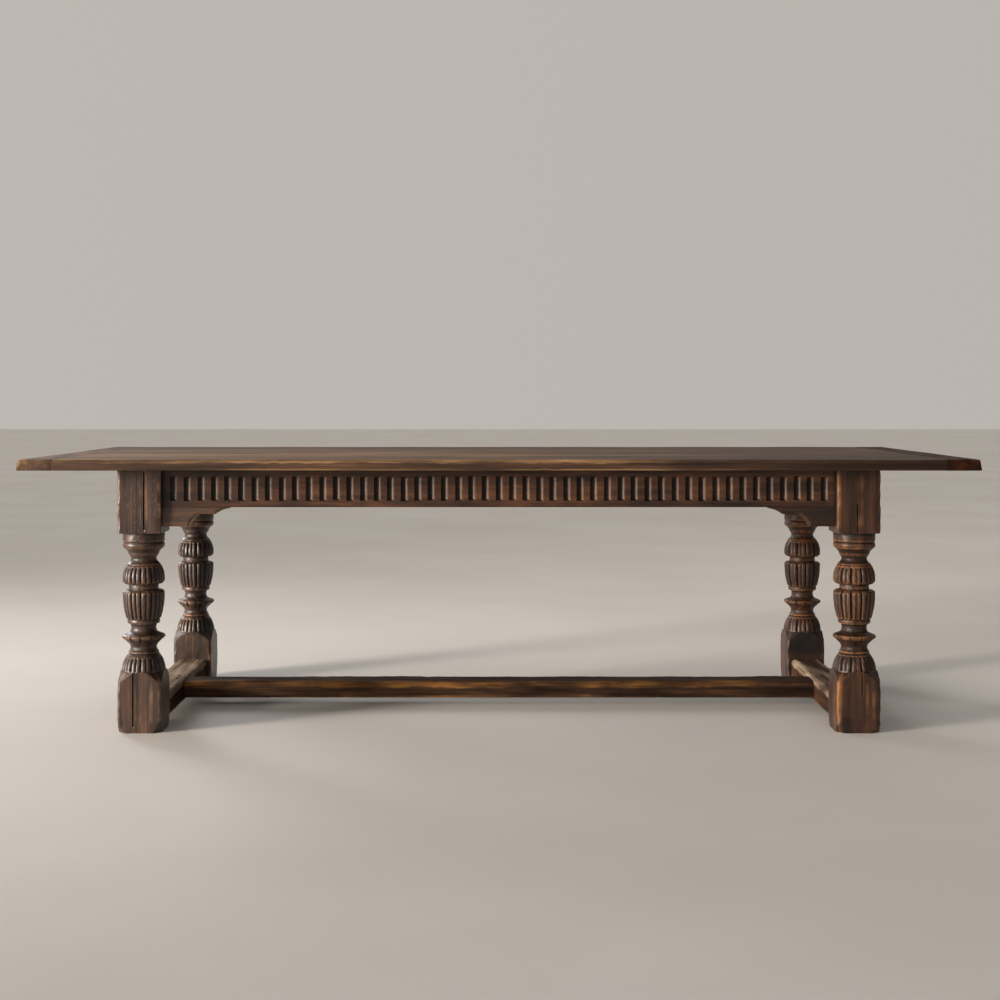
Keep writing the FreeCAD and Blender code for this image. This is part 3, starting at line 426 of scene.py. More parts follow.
def carve(turn, level, radius, fine, seed):
    """How deep the carver cut at each place, and how dark each place is painted, for grime and painted
    shade.

    Fine runs from 0, where broad lobes have a soft hollow, to 1, where a second sharp cut splits each."""
    lobe = np.floor(turn / LOBE_TURN)
    across = (turn / LOBE_TURN - lobe - 0.5) * LOBE_TURN * radius
    half = LOBE_TURN * radius / 2
    uneven = 1 + 0.18 * np.sin(lobe * 2.4 + seed) + 0.1 * np.sin(lobe * 5.1 + 2 * seed)
    edge = half - np.abs(across)
    vee = np.clip(1 - edge / (3.6 * MM), 0, 1)
    middle = np.clip(1 - np.abs(across) / ((4.6 - 1.4 * fine) * MM), 0, 1) ** (0.7 + 0.3 * fine)
    crown = (np.abs(across) / half) ** 2
    depth = np.zeros_like(across)
    shade = np.zeros_like(across)
    # Each swelling has its V cuts, the plain strip above them and the cuts beyond the arches, all in mm.
    for (low, high), deep, plain, outside in ((BELL, 4.2, 3 + 7 * fine, 0), (CUP, 4.6, 0.5, 2.4),
                                              (COVER, 4.4, 4, 2.2)):
        inside = (level > low) & (level < high - 0.2 * MM)
        ends = step(low + 0.5 * MM, low + 5 * MM, level)
        ends = ends * (1 - step(high - (plain + 4.5) * MM, high - plain * MM, level))
        cut = (vee * deep * uneven + crown * 1.1) * (ends if plain > 2 else 1)
        gouge = middle * (1.3 + 2.2 * fine) * uneven * ends
        arch = np.sqrt(np.clip(1 - (across / (half - 1.2 * MM)) ** 2, 0, 1)) * half * 0.8
        if outside:
            past_end = low - level if high == COVER[1] else level - high
            beyond = step(-1 * MM, 1 * MM, past_end + 3.5 * MM + half * 0.8 - arch)
            cut = np.maximum(cut, beyond * outside)
            gouge = gouge * (1 - beyond)
        depth += np.where(inside, cut + gouge, 0) * MM
        # The shade darkens the cuts, for dirt and as painted shade.
        shade += np.where(inside, np.clip(cut / deep, 0, 1) * vee * 0.95 + gouge * 0.2, 0)
    notch = np.clip(1 - edge / (4.5 * MM), 0, 1)
    rim = np.clip(1.3 - np.abs(level - DISC_NOTCH) / (11 * MM), 0, 1) * np.where(level > DISC_RIM, 0.4, 1)
    depth += notch * rim * (1.6 + 2.2 * fine) * MM * uneven
    shade += notch * rim * (0.3 + 0.4 * fine)
    return depth, shade


cup_cuts = carve(np.linspace(0, 2 * math.pi, 721), np.full(721, 350 * MM), 55 * MM, 1.0, 11)[0]
print("deepest cut in the cup:", round(cup_cuts.max() / MM, 1), "mm")

# %% [markdown]
# ## The grid of a leg
# The leg is a grid in polar form. Its rows follow the turned profile, and its columns stand closer
# together where the carver's cuts are. An even grid would need far more points to show a sharp cut.


# %% Leg grid
def turned_from(turn, angle):
    """How far each angle lies from one angle, the short way round."""
    return np.abs((turn - angle + math.pi) % (2 * math.pi) - math.pi)


def leg_columns(phase, specials):
    """Angles round the leg, closer at the cuts. Each special one gets a column and two beside it."""
    share = np.arange(LOBES * 16) / 16
    crowded = share - 0.68 * np.sin(4 * math.pi * share) / (4 * math.pi)
    turned_columns = crowded * LOBE_TURN + phase
    square_columns = turned_columns.copy()
    for angle, beside in specials:
        nearest = int(np.argmin(turned_from(turned_columns, angle)))
        for offset in (-1, 0, 1):
            spot = (nearest + offset) % len(square_columns)
            whole = round((turned_columns[spot] - angle) / (2 * math.pi)) * 2 * math.pi
            square_columns[spot] = angle + whole + offset * beside
    return turned_columns, square_columns


def leg_grid(phase, checks):
    """Angle, level and lathe radius at each point of a leg, and which rows were left square."""
    specials = [(math.radians(angle), math.radians(1.6)) for angle in (45, 135, 225, 315)]
    specials += [(math.radians(check[0]), math.radians(1.9)) for check in checks]
    turned_columns, square_columns = leg_columns(phase, specials)
    foot_levels = np.concatenate([np.linspace(0, 18, 8, endpoint=False), np.linspace(18, 134, 32),
                                  np.linspace(136, 165.9, 15)]) * MM
    block_levels = np.linspace(BLOCK_LOW, leg_height, 48)
    levels = np.concatenate([foot_levels, profile[:, 1], block_levels])
    untouched = 1.0  # a radius in metres that lies outside the square
    lathe = np.concatenate([np.full(len(foot_levels), untouched), profile[:, 0],
                            np.full(len(block_levels), untouched)])
    squared = ((levels < SHOULDER) | (levels >= BLOCK_LOW))[:, None]
    turn = np.where(squared, square_columns, turned_columns)
    level = np.repeat(levels[:, None], turn.shape[1], axis=1)
    return turn, level, np.repeat(lathe[:, None], turn.shape[1], axis=1), squared


print("rows and columns of a leg:", leg_grid(0, [])[0].shape)

# %% [markdown]
# ## The square parts of a leg
# The block and the foot were planed by hand, so they are a little hollow and their corners are eased.
# The corners of the foot slope in under the bell, and floors and brooms have worn them away below.
# A box with a bevel would be too even, so the radius of the square is worked out at each angle and level.


# %% Square parts of a leg
def blank_radius(turn, level, seed):
    """The radius of the planed blank with eased corners, cut away further at the foot."""
    cos, sin = np.abs(np.cos(turn)), np.abs(np.sin(turn))
    arris = (4.5 + 2.5 * ripple(seed, (0.11, 0.05), level)) * MM
    half = leg_half - (0.45 + 0.35 * ripple(seed + 1, (0.09, 0.16, 0.05), level, turn * leg_half)) * MM
    flat = np.minimum(half / np.maximum(cos, sin), (2 * half - arris) / (cos + sin))
    taken = FOOT_CUT * np.clip(1 - level / FOOT_WEAR, 0, 1) ** 1.3
    taken = taken + SHOULDER_CUT * np.clip((level - FOOT_TOP) / (SHOULDER - FOOT_TOP), 0, 1)
    taken = taken + (1 + ripple(seed + 2, (0.05, 0.031), level)) * 0.5 * MM
    corner_cut = (2 * leg_half - math.sqrt(2) * taken) / (cos + sin)
    return np.where(level < SHOULDER, np.minimum(flat, corner_cut), flat)


foot_diagonal = blank_radius(np.array([math.pi / 4]), np.array([0.0]), 11)[0] / MM
print("from the middle of a foot to its worn corner:", round(foot_diagonal, 1), "mm")

# %% [markdown]
# ## The wear and painted shade of a leg
# Carved hollows keep their dirt and are darkened further as painted shade, crests and corners are rubbed
# clean, and in some places cloth or shoes have rubbed a streak. Some low places on the feet are darkened,
# on the rear right foot as painted shade. Blender can find edges by itself, but it can't know where people
# touch a table.
# So crests come from the bend of the profile, and the streaks are listed leg by leg.

# %% Leg wear
STREAK_FADE, CRACK_FADE = 25, 14  # mm


def between(level, low, high, fade):
    """1 between two levels in mm, fading out inside both."""
    return step(low * MM, (low + fade) * MM, level) * (1 - step((high - fade) * MM, high * MM, level))


def leg_wear(turn, level, radius, shade, squared, polish, rubs_and_dark_marks, seed):
    """Wear and painted shade at each point of a leg. A streak with a strength below 0 darkens; on the rear
    right foot that is painted shade.
    """
    worn = 0.5 - np.clip(shade, 0, 0.48)
    corner = np.clip(1 - np.abs(np.abs(np.sin(2 * turn)) - 1) / 0.012, 0, 1)
    corner = 0.42 * corner * (0.6 + 0.4 * ripple(seed + 4, (0.13, 0.06), level))
    lobed = (level > CUP[0]) & (level < COVER[1]) & (shade < 0.15)
    bend = np.gradient(np.gradient(radius, axis=0), axis=0)
    crests = np.clip(-bend / (1.2 * MM), -0.35, 0.35)
    worn = worn + np.where(squared, corner, crests * (0.9 + 2 * polish) + polish * lobed)
    for angle, low, high, width, strength in rubs_and_dark_marks:
        away = turned_from(turn, math.radians(angle)) / math.radians(width)
        soft = strength * (0.75 + 0.4 * ripple(seed + 6, (0.05, 0.09), level))
        worn = worn + np.clip(1 - away ** 2, 0, 1) * between(level, low, high, STREAK_FADE) * soft * squared
    return worn


print("a rubbed streak fades over", STREAK_FADE, "mm, a crack over", CRACK_FADE, "mm")

# %% [markdown]
# ## The legs
# The four legs are alike but not the same: each has lobes cut more or less finely, its own polish, its
# own cracks of drying and its own rubbed streaks. One leg could be copied three times, and the eye would
# see it at once.


# %% Legs
def wood_of(name):
    """The pieces at the right end come from a warmer tree, and are darker as a painted shade for that end.
    """
    return warm_oak_painted_darker if "right" in name else frame_oak


def leg(name, phase, fine, polish, checks, rubs_and_dark_marks, seed):
    """One leg. Angles count from the front, towards the right, in degrees, and levels are in mm.

    Polish is how far dusters have lightened the turnings. Checks, the cracks of drying, are
    (angle, low, high, depth), and each rubbed streak and each dark mark is (angle, low, high, half width,
    strength). A strength below 0 darkens; on the rear right foot that darkening is painted shade."""
    phase = math.radians(phase)
    turn, level, lathe, squared = leg_grid(phase, checks)
    depth, shade = carve(turn - phase, level, np.minimum(lathe, 60 * MM), fine, seed)
    turned = lathe - depth + ripple(seed + 3, (0.02, 0.05), level, turn * 50 * MM) * 0.25 * MM
    radius = np.minimum(blank_radius(turn, level, seed), np.where(squared, lathe, turned))
    worn = leg_wear(turn, level, radius, shade, squared, polish, rubs_and_dark_marks, seed)
    for angle, low, high, deep in checks:
        crack = (turned_from(turn, math.radians(angle)) < math.radians(0.3)) & squared
        bite = np.where(crack, between(level, low, high, CRACK_FADE), 0)
        radius = radius - bite * deep * MM
        worn = worn - bite * 0.5
    points, faces = skin(np.stack([radius * np.sin(turn), -radius * np.cos(turn), level], axis=-1))
    grain = np.stack([points[:, 2], points[:, 0], points[:, 1]], axis=1)
    side_x = 1 if "right" in name else -1
    side_y = 1 if "rear" in name else -1
    return finish_piece("turned_" + name, points, faces, grain, worn.ravel(), [name], wood_of(name),
                        shift=(side_x * leg_x, side_y * leg_y, 0))


# A strength below 0 darkens the foot; on the rear right foot that is painted shade, as that end gets less
# light.
legs = [
    leg("leg_front_left", phase=4.5, fine=1.0, polish=0.0, seed=11,
        checks=[(12.7, 556, 728, 9), (-15.5, 14, 190, 12)],
        rubs_and_dark_marks=[(18, 556, 728, 4, 0.4), (29, 20, 152, 5, 0.45), (-9, 20, 150, 4, 0.25),
              (-30, -20, 60, 12, -0.12)]),
    leg("leg_front_right", phase=9.0, fine=0.25, polish=0.22, seed=23,
        checks=[(-4.5, 545, 640, 6), (9.0, 96, 172, 4)],
        rubs_and_dark_marks=[(-43, 10, 150, 6, 0.5), (-43, 556, 728, 4, 0.5), (-28, -30, 60, 14, -0.35),
              (2, 556, 730, 13, 0.26), (20, 40, 150, 5, 0.4), (36, 30, 130, 6, 0.35),
              (-66, 0, 160, 20, 0.2)]),
    leg("leg_rear_right", phase=2.0, fine=0.4, polish=0.0, seed=37,
        checks=[(170, 580, 728, 7)], rubs_and_dark_marks=[(5, -30, 195, 80, -0.62)]),
    leg("leg_rear_left", phase=14.0, fine=0.8, polish=0.03, seed=41,
        checks=[(196, 20, 120, 7)], rubs_and_dark_marks=[(0, 20, 175, 24, 0.42)]),
]
print("legs:", len(legs), "points each:", len(legs[0].data.vertices))

# %% [markdown]
# ## The fluted frieze
# The rails carry a row of upright flutes. A carver cuts each with one wide gouge, straight down between
# two scribed lines, so the flutes differ a little in width and depth. Each flute is painted darker along
# one side as painted shade, and its other wall is painted a little lighter as a painted highlight.
# Flutes could be cut with a row of cylinders. Instead the rail is swept along its length, with steps that
# stand closer in the flutes, and the hollow is pressed into its outer face.

# %% Flutes
FLUTE_PITCH = 37.6 * MM
FLUTE_RADIUS = 11 * MM
FLUTE_DEPTH = 7 * MM
FLUTE_HALF = math.sqrt(FLUTE_RADIUS ** 2 - (FLUTE_RADIUS - FLUTE_DEPTH) ** 2)
FLUTE_LOW, FLUTE_HIGH = 18 * MM, 86 * MM
FLUTE_MARGIN = 32 * MM
FLUTE_STEPS = np.array([-1.12, -1.0, -0.93, -0.75, -0.5, -0.25, 0, 0.25, 0.5, 0.75, 0.93, 1.0, 1.12])


def flute_steps(clear, seed):
    """Places along a rail, each with its distance from the nearest flute, and how that flute was cut."""
    count = int((clear - 2 * FLUTE_MARGIN) // FLUTE_PITCH) + 1
    picks = np.random.default_rng(seed)
    middles = (np.arange(count) - (count - 1) / 2) * FLUTE_PITCH + picks.uniform(-1.1, 1.1, count) * MM
    places = (middles[:, None] + FLUTE_STEPS * FLUTE_HALF).ravel()
    places = np.concatenate([np.linspace(-clear / 2, places[0] - 4 * MM, 5), places,
                             np.linspace(places[-1] + 4 * MM, clear / 2, 5)])
    nearest = np.argmin(np.abs(places[:, None] - middles[None, :]), axis=1)
    deeper = picks.uniform(0.86, 1.06, count)
    slip = picks.uniform(-1.5, 1.5, count) * MM
    return places, places - middles[nearest], deeper[nearest], slip[nearest]


def fluted_face(x, z, away, deeper, slip, half_length, seed):
    """How far a rail's outer face lies below its front at each place, and its wear and painted light."""
    hollow = np.sqrt(np.clip(FLUTE_RADIUS ** 2 - away ** 2, 0, None)) - (FLUTE_RADIUS - FLUTE_DEPTH)
    ends = (step(-0.5 * MM, 3.5 * MM, z - slip - FLUTE_LOW)
            * step(-0.5 * MM, 3.5 * MM, FLUTE_HIGH + slip - z))
    cut = np.clip(hollow * deeper, 0, None) * ends
    plane = (0.5 + 0.35 * ripple(seed, (0.21, 0.09), x, z)) * MM
    lower_edge = np.clip(1 - z / (3.5 * MM), 0, 1) ** 2 * 2.2 * MM
    # Painted shade along one side of each flute, and a painted highlight on its other wall.
    painted_shade_side = 1 - step(0.1, 0.7, away / FLUTE_RADIUS)
    worn = 0.5 - np.clip(1.8 * cut / FLUTE_DEPTH, 0, 1) * (0.44 * painted_shade_side - 0.08)
    rim = np.abs(np.abs(away) - FLUTE_HALF) < 0.9 * MM
    worn = worn + np.where(rim & (ends > 0.5), 0.12, 0)
    fillet = np.exp(-((z - 9 * MM) / (7 * MM)) ** 2)
    worn = worn + fillet * (0.2 * ripple(seed + 5, (0.33, 0.12), x) - 0.1)
    # Painted shadow of the legs, darker within a few mm of each end of the rail.
    worn = worn - 0.35 * np.exp(-((half_length - np.abs(x)) / (7 * MM)) ** 2)
    return cut + plane + lower_edge, worn


print(f"a flute is {2 * FLUTE_HALF / MM:.1f} mm wide and {FLUTE_DEPTH / MM:.0f} mm deep")

# %% [markdown]
# ## The rails
# Four rails join the legs, two long and two short. Each could be built in its place. It is simpler to
# build all as if they lay in front, and to turn them to their sides.
# Only the outer faces show, so those get a fine grid, and the tenons are left to the solids.

# %% Rails
RAIL_TENON = 52 * MM
RAIL_BANDS = ((0, 15, 4), (16, 22, 6), (26, 78, 8), (81, 88, 6), (92, 107, 3))  # mm from, mm to, rows
RAIL_SIDES = {0: (0, -rail_face_y), 180: (0, rail_face_y), -90: (-rail_face_x, 0), 90: (rail_face_x, 0)}


def rail(name, turn, seed):
    """A rail with its outer face at the local y = 0, in front, and its middle at x = 0."""
    low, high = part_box(name)
    clear = max(high.x - low.x, high.y - low.y) - 2 * RAIL_TENON
    places, away, deeper, slip = flute_steps(clear, seed)
    heights = np.concatenate([np.linspace(*band) for band in RAIL_BANDS]) * MM
    heights[-1] = rail_height
    x = np.repeat(places[:, None], len(heights), axis=1)
    z = np.repeat(heights[None, :], len(places), axis=0)
    depth, worn = fluted_face(x, z, away[:, None], deeper[:, None], slip[:, None], clear / 2, seed)
    back_heights = (0, 0.2 * MM, rail_height - 0.2 * MM, rail_height)
    back = [np.stack([places, np.full_like(places, rail_thick), np.full_like(places, height)], axis=-1)
            for height in back_heights]
    rows = np.concatenate([np.stack([x, depth, z], axis=-1)[:, ::-1], np.stack(back, axis=1)], axis=1)
    back_worn = np.full((len(places), len(back_heights)), 0.42)
    worn = np.concatenate([worn[:, ::-1], back_worn], axis=1)
    points, faces = skin(rows)
    return finish_piece("fluted_" + name, points, faces, points, worn.ravel(), [name], warm_oak_painted_darker,
                        math.radians(turn), (*RAIL_SIDES[turn], low.z), sharp=50)


rails = [rail("rail_front", 0, 3), rail("rail_rear", 180, 5), rail("rail_left", -90, 7),
         rail("rail_right", 90, 9)]
print("rails:", len(rails), "points in the front one:", len(rails[0].data.vertices))

# %% [markdown]
# ## The brackets
# A bracket is sawn from a short board: a flat sole beside the leg, a hollow up to a shelf, and a second
# hollow out to the tip. The carver then takes off the lower front edge with a broad bevel.
# Blender's bevel is even all along an edge, and a carver's isn't. So the outline is drawn several times
# from front to back, set in by an uneven share of the bevel.

# %% Bracket outline
BRACKET_OUTLINE = ((0, 0), (72, 0), (103, 34), (145, 34), (186, 51))
BRACKET_HOLLOWS = (0, 5, 0, 3)
BRACKET_BEVEL = 7 * MM


def bracket_edge():
    """The lower edge of a bracket from the leg to its tip, with its two hollows."""
    parts = []
    for begin, finish, bow in zip(BRACKET_OUTLINE[:-1], BRACKET_OUTLINE[1:], BRACKET_HOLLOWS):
        share = np.linspace(0, 1, 10, endpoint=False)
        begin, finish = np.array(begin, float), np.array(finish, float)
        way = finish - begin
        side = np.array([-way[1], way[0]]) / np.linalg.norm(way)
        parts.append(begin + share[:, None] * way + (4 * bow * share * (1 - share))[:, None] * side)
    parts.append(np.array([BRACKET_OUTLINE[-1]], float))
    return np.concatenate(parts) * MM


def inward_from(edge):
    """Directions from the lower edge into the wood, smoothed over seven points."""
    way = np.gradient(edge, axis=0)
    inward = np.stack([-way[:, 1], way[:, 0]], axis=1)
    inward /= np.linalg.norm(inward, axis=1)[:, None]
    inward[0] = (0, 1)
    even = np.full(7, 1 / 7)
    return np.stack([np.convolve(np.pad(part, 3, "edge"), even, "valid") for part in inward.T], axis=1)


print("points along the lower edge of a bracket:", len(bracket_edge()))


# %% Brackets
def bracket(name, hand, turn, place, seed, shade=0.0):
    """A bracket from the leg at x = 0 by its hand, with its front at y = 0, darker by the shade, a painted
    shade.
    """
    low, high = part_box(name)
    thick = min(high.x - low.x, high.y - low.y)
    tall = high.z - low.z
    edge = bracket_edge()
    inward = inward_from(edge)
    top = np.stack([np.linspace(edge[-1, 0], 0, 12), np.full(12, tall)], axis=1)
    room = np.clip(tall - edge[:, 1] - 1.5 * MM, 0, BRACKET_BEVEL)
    uneven = 0.6 * MM * (1 + ripple(seed, (0.05, 0.09), edge[:, 0]))
    rows = []
    worn = []
    # Each outline has its depth behind the front, its share of the bevel and the wear of its lower edge.
    for depth, bevel, rub in ((0.4 * MM, 1.0, 0.52), (0.35 * BRACKET_BEVEL, 0.62, 0.74),
                              (0.7 * BRACKET_BEVEL, 0.28, 0.7), (BRACKET_BEVEL, 0.03, 0.62),
                              (0.6 * thick, 0.0, 0.45), (thick, 0.0, 0.4)):
        lower = edge + inward * ((room + uneven) * bevel)[:, None]
        ring = np.concatenate([lower, top])
        rows.append(np.stack([ring[:, 0] * hand, np.full(len(ring), depth), ring[:, 1]], axis=1))
        worn.append(np.concatenate([np.full(len(lower), rub - shade), np.full(len(top), 0.45 - shade)]))
    points, faces = skin(np.array(rows))
    if hand > 0:
        faces = [face[::-1] for face in faces]
    return finish_piece("shaped_" + name, points, faces, points, np.array(worn).ravel(), [name],
                        wood_of(name), math.radians(turn), (*place, low.z), sharp=30)


near_x = leg_x - leg_half
near_y = leg_y - leg_half
# The shade is painted shade, strongest on the front right bracket, which gets little light.
brackets = [
    bracket("bracket_front_left", 1, 0, (-near_x, -rail_face_y), 1, shade=0.04),
    bracket("bracket_front_right", -1, 0, (near_x, -rail_face_y), 2, shade=0.27),
    bracket("bracket_rear_right", 1, 180, (near_x, rail_face_y), 3),
    bracket("bracket_rear_left", -1, 180, (-near_x, rail_face_y), 4),
    bracket("bracket_left_rear", 1, -90, (-rail_face_x, near_y), 5),
    bracket("bracket_left_front", -1, -90, (-rail_face_x, -near_y), 6),
    bracket("bracket_right_front", 1, 90, (rail_face_x, -near_y), 7),
    bracket("bracket_right_rear", -1, 90, (rail_face_x, near_y), 8),
]
print("brackets:", len(brackets))

# %% [markdown]
# ## Planks
# Boards, cleats and stretchers are planks: long bars with a rounded section. Their edges were planed
# square once. Sleeves, plates and shoes have since rounded them unevenly, most of all the front edge of
# the top and the backs of the stretchers.
# A bevelled box would have the same round from end to end. Here the section is drawn anew every 9 mm,
# each time with other radii at its four corners.

# %% Plank outlines
PLANK_STEP = 9 * MM
CORNER_POINTS = 6


def plank_rows(places, low, high, rounds, rubs_and_dark_marks, per_side, seed, dent):
    """Outlines of a bar along x between low and high (y, z), with the rub of each point.

    Corners go from the lower front one round by the lower rear. Dents eat into the rounded edges."""
    corners = ((low[0], low[1], 1, 1, 180), (high[0], low[1], -1, 1, 270),
               (high[0], high[1], -1, -1, 0), (low[0], high[1], 1, -1, 90))
    arcs = []
    for index, (y, z, in_y, in_z, start) in enumerate(corners):
        wander = ripple(seed + index, (0.43, 0.17, 0.07), places)
        bites = np.clip(ripple(seed + 10 + index, (0.29, 0.13, 0.05), places) - 0.35, 0, 1)
        radius = (rounds[index] * (1 + 0.3 * wander) + dent * bites)[:, None]
        angle = np.radians(start + np.linspace(0, 90, CORNER_POINTS))
        arcs.append(np.stack([y + in_y * radius + radius * np.cos(angle),
                              z + in_z * radius + radius * np.sin(angle)], axis=-1))
    parts = []
    edges = []
    for index, arc in enumerate(arcs):
        following = arcs[(index + 1) % 4][:, :1]
        share = np.linspace(0, 1, per_side[index] + 2)[1:-1]
        parts += [arc, arc[:, -1:] * (1 - share)[:, None] + following * share[:, None]]
        edges += [np.full(CORNER_POINTS, rubs_and_dark_marks[index]), np.zeros(len(share))]
    outline = np.concatenate(parts, axis=1)
    edge = np.repeat(np.concatenate(edges)[None, :], len(places), axis=0)
    x = np.repeat(places[:, None], outline.shape[1], axis=1)
    return np.concatenate([x[..., None], outline], axis=-1), edge


print("points round the corners of a plank:", 4 * CORNER_POINTS)

# %% [markdown]
# ## The wear of planks
# A top is rubbed pale where people sit and eat, and its edge where they lean; its front boards are paler
# still as a painted sheen. Towards the right the top is darker as painted shade, and dirt has settled in
# the seams.
# A painted mask could show this too. A few slow ripples along the plank give patches that no one placed.


# %% Planks
def plank_wear(x, y, z, edge, upper, half_height, top_paleness, keep_dark, seed):
    """Wear and painted light at each point of a plank, darker towards the right as painted shade. Upper is
    1 on its top, and edge holds how its corners are rubbed.
    """
    # Painted shade towards the right end, on the faces, the edges and the top.
    dark = keep_dark * step(0.3, 1.2, x)
    face = 0.46 - 0.38 * dark
    kept_low = (1 - 0.8 * dark) * (1 - 0.75 * keep_dark * step(0.5, 1.1, -x))
    kept_high = (1 - 0.45 * dark) * (1 - 0.45 * keep_dark * step(0.75, 1.15, -x))
    kept = np.where(z > half_height, kept_high, kept_low)
    rubbed = edge * kept * (0.76 + 0.5 * ripple(seed + 22, (0.83, 0.41, 0.17), x))
    top_tone = top_paleness * (1 - 0.9 * keep_dark * step(-0.7, 1.2, x))
    top_tone = 0.46 + top_tone + 0.16 * ripple(seed + 23, (1.3, 0.7, 0.4), x, 5 * y)
    return face + (top_tone - face) * upper + rubbed


def plank(name, low, high, rounds, rubs_and_dark_marks, per_side, material, seed, dent, hollow, turn=0,
          shift=(0, 0, 0), top_paleness=0.0, lean=0.0, keep_dark=0.0):
    """A plank along x in its own frame, with dents in its edges and a top that is hollowed here and there.

    A rub below 0 is grime in a seam. The top's paleness value pales the whole top, and darkens it below 0:
    wear, and on the boards and end stretchers also a painted sheen. Lean slants the rear face inwards
    towards the top, and keep_dark darkens the plank towards the right end as painted shade and leaves its
    left end less rubbed."""
    places = np.linspace(low[0], high[0], int((high[0] - low[0]) / PLANK_STEP) + 2)
    rows, edge = plank_rows(places, low[1:], high[1:], rounds, rubs_and_dark_marks, per_side, seed, dent)
    x, y, z = rows[..., 0], rows[..., 1], rows[..., 2]
    upper = step(high[2] - 4 * MM, high[2] - 1 * MM, z)
    z -= upper * (0.35 * MM + hollow * (0.5 + 0.5 * ripple(seed + 20, (0.9, 0.5, 0.3), x, 3 * y)))
    planed = (0.3 + 0.3 * ripple(seed + 21, (0.5, 0.2), x, z)) * MM
    y += np.sign((low[1] + high[1]) / 2 - y) * (1 - upper) * planed
    worn = plank_wear(x, y, z, edge, upper, (low[2] + high[2]) / 2, top_paleness, keep_dark, seed)
    y -= lean * (z - low[2]) / (high[2] - low[2]) * step(high[1] - 12 * MM, high[1] - 8 * MM, y)
    points, faces = skin(rows[:, ::-1])
    return finish_piece("worn_" + name, points, faces, points, worn[:, ::-1].ravel(), [name], material,
                        math.radians(turn), shift)


print("a plank gets an outline every", round(PLANK_STEP / MM), "mm")

# %% [markdown]
# ## The boards of the top
# Five boards lie side by side. The outer edges of the first and the last are well rounded and rubbed,
# and the seams between boards are tight and dark.
# The top could be one slab with drawn seams. Separate boards give seams that are real gaps.

# %% Boards
# How pale the top of each board is: wear, and a painted sheen that is strongest on the front boards.
BOARD_TOP_PALENESS = (0.4, 0.4, 0.34, 0.25, 0.1)
OUTER_EDGE = (3.5 * MM, 9 * MM, 0.58)  # lower and upper round, and rub
SEAM_EDGE = (1.2 * MM, 1.4 * MM, -0.3)

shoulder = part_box("cleat_right")[0].x
board_width = (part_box("top_board_5")[1].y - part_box("top_board_1")[0].y) / len(BOARD_TOP_PALENESS)
boards = []
for index, top_paleness in enumerate(BOARD_TOP_PALENESS, start=1):
    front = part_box(f"top_board_{index}")[0].y
    front_low, front_high, front_rub = OUTER_EDGE if index == 1 else SEAM_EDGE
    rear_low, rear_high, rear_rub = OUTER_EDGE if index == len(BOARD_TOP_PALENESS) else SEAM_EDGE
    boards.append(plank(
        f"top_board_{index}", (-shoulder, front, top_low), (shoulder, front + board_width, top_high),
        rounds=(front_low, rear_low, rear_high, front_high),
        rubs_and_dark_marks=(front_rub, rear_rub, rear_rub, front_rub), per_side=(14, 6, 24, 6), material=top_oak,
        seed=100 + 31 * index, dent=3.5 * MM, hollow=0.9 * MM, top_paleness=top_paleness, keep_dark=1.0))
print("boards:", len(boards), "each", round(board_width / MM, 1), "mm wide")

# %% [markdown]
# ## The cleats
# A cleat across each end keeps the boards flat. The right one is redder than the boards, so it gets a
# wood of its own. The outer face leans in towards the top.
# It could be the end of the boards with another colour, but its grain runs across theirs. So it is a
# plank too, built along x and turned.

# %% Cleats
cleats = []
for name, turn, seed, top_paleness, wood in (("cleat_left", 90, 301, 0.2, top_oak),
                                     ("cleat_right", -90, 333, 0.14, cleat_oak)):
    low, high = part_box(name)
    half_wide = (high.x - low.x) / 2
    half_long = (high.y - low.y) / 2
    centre = (low + high) / 2
    cleats.append(plank(
        name, (-half_long, -half_wide, 0), (half_long, half_wide, top_high - top_low),
        rounds=(1.2 * MM, 2 * MM, 4 * MM, 1.4 * MM), rubs_and_dark_marks=(-0.3, 0.3, 0.3, -0.3), per_side=(10, 6, 14, 6),
        material=wood, seed=seed, dent=4 * MM, hollow=0.9 * MM, turn=turn,
        shift=(centre.x, centre.y, low.z), top_paleness=top_paleness, lean=6 * MM))
print("cleats:", len(cleats), "each", round(2 * half_long / MM), "mm long")

# %% [markdown]
# ## The stretchers
# The low H of stretchers ties the feet together, and people rest their shoes on it. So its upper edges
# are rounded most, its top is hollowed, and the ends are trodden pale and dry. Their tops are paler still
# as a painted reflection, most of all the left one, and the long one darkens towards the right as
# painted shade.
# A simulation of wear would be slow and hard to steer. Larger rounds, dents and hollows do as well.

# %% Stretchers
low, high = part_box("long_stretcher")
end_low, end_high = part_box("end_stretcher_right")
inner = leg_x - (end_high.x - end_low.x) / 2
stretchers = [plank(
    "long_stretcher", (-inner, low.y, low.z), (inner, high.y, high.z),
    rounds=(4 * MM, 4 * MM, 15 * MM, 17 * MM), rubs_and_dark_marks=(0.36, 0.36, 0.46, 0.46), per_side=(8, 4, 9, 4),
    material=shoe_oak, seed=401, dent=7 * MM, hollow=3 * MM, top_paleness=-0.14, keep_dark=0.8)]
for name, turn, seed, top_paleness in (("end_stretcher_left", 90, 421, 0.55),
                               ("end_stretcher_right", -90, 443, 0.2)):
    low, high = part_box(name)
    half_wide = (high.x - low.x) / 2
    stretchers.append(plank(
        name, (-near_y, -half_wide, low.z), (near_y, half_wide, high.z),
        rounds=(4 * MM, 4 * MM, 12 * MM, 13 * MM), rubs_and_dark_marks=(0.3, 0.3, 0.5, 0.5), per_side=(8, 4, 9, 4),
        material=trodden_oak_painted_sheen, seed=seed, dent=7 * MM, hollow=3 * MM, turn=turn,
        shift=((low.x + high.x) / 2, 0, 0), top_paleness=top_paleness))
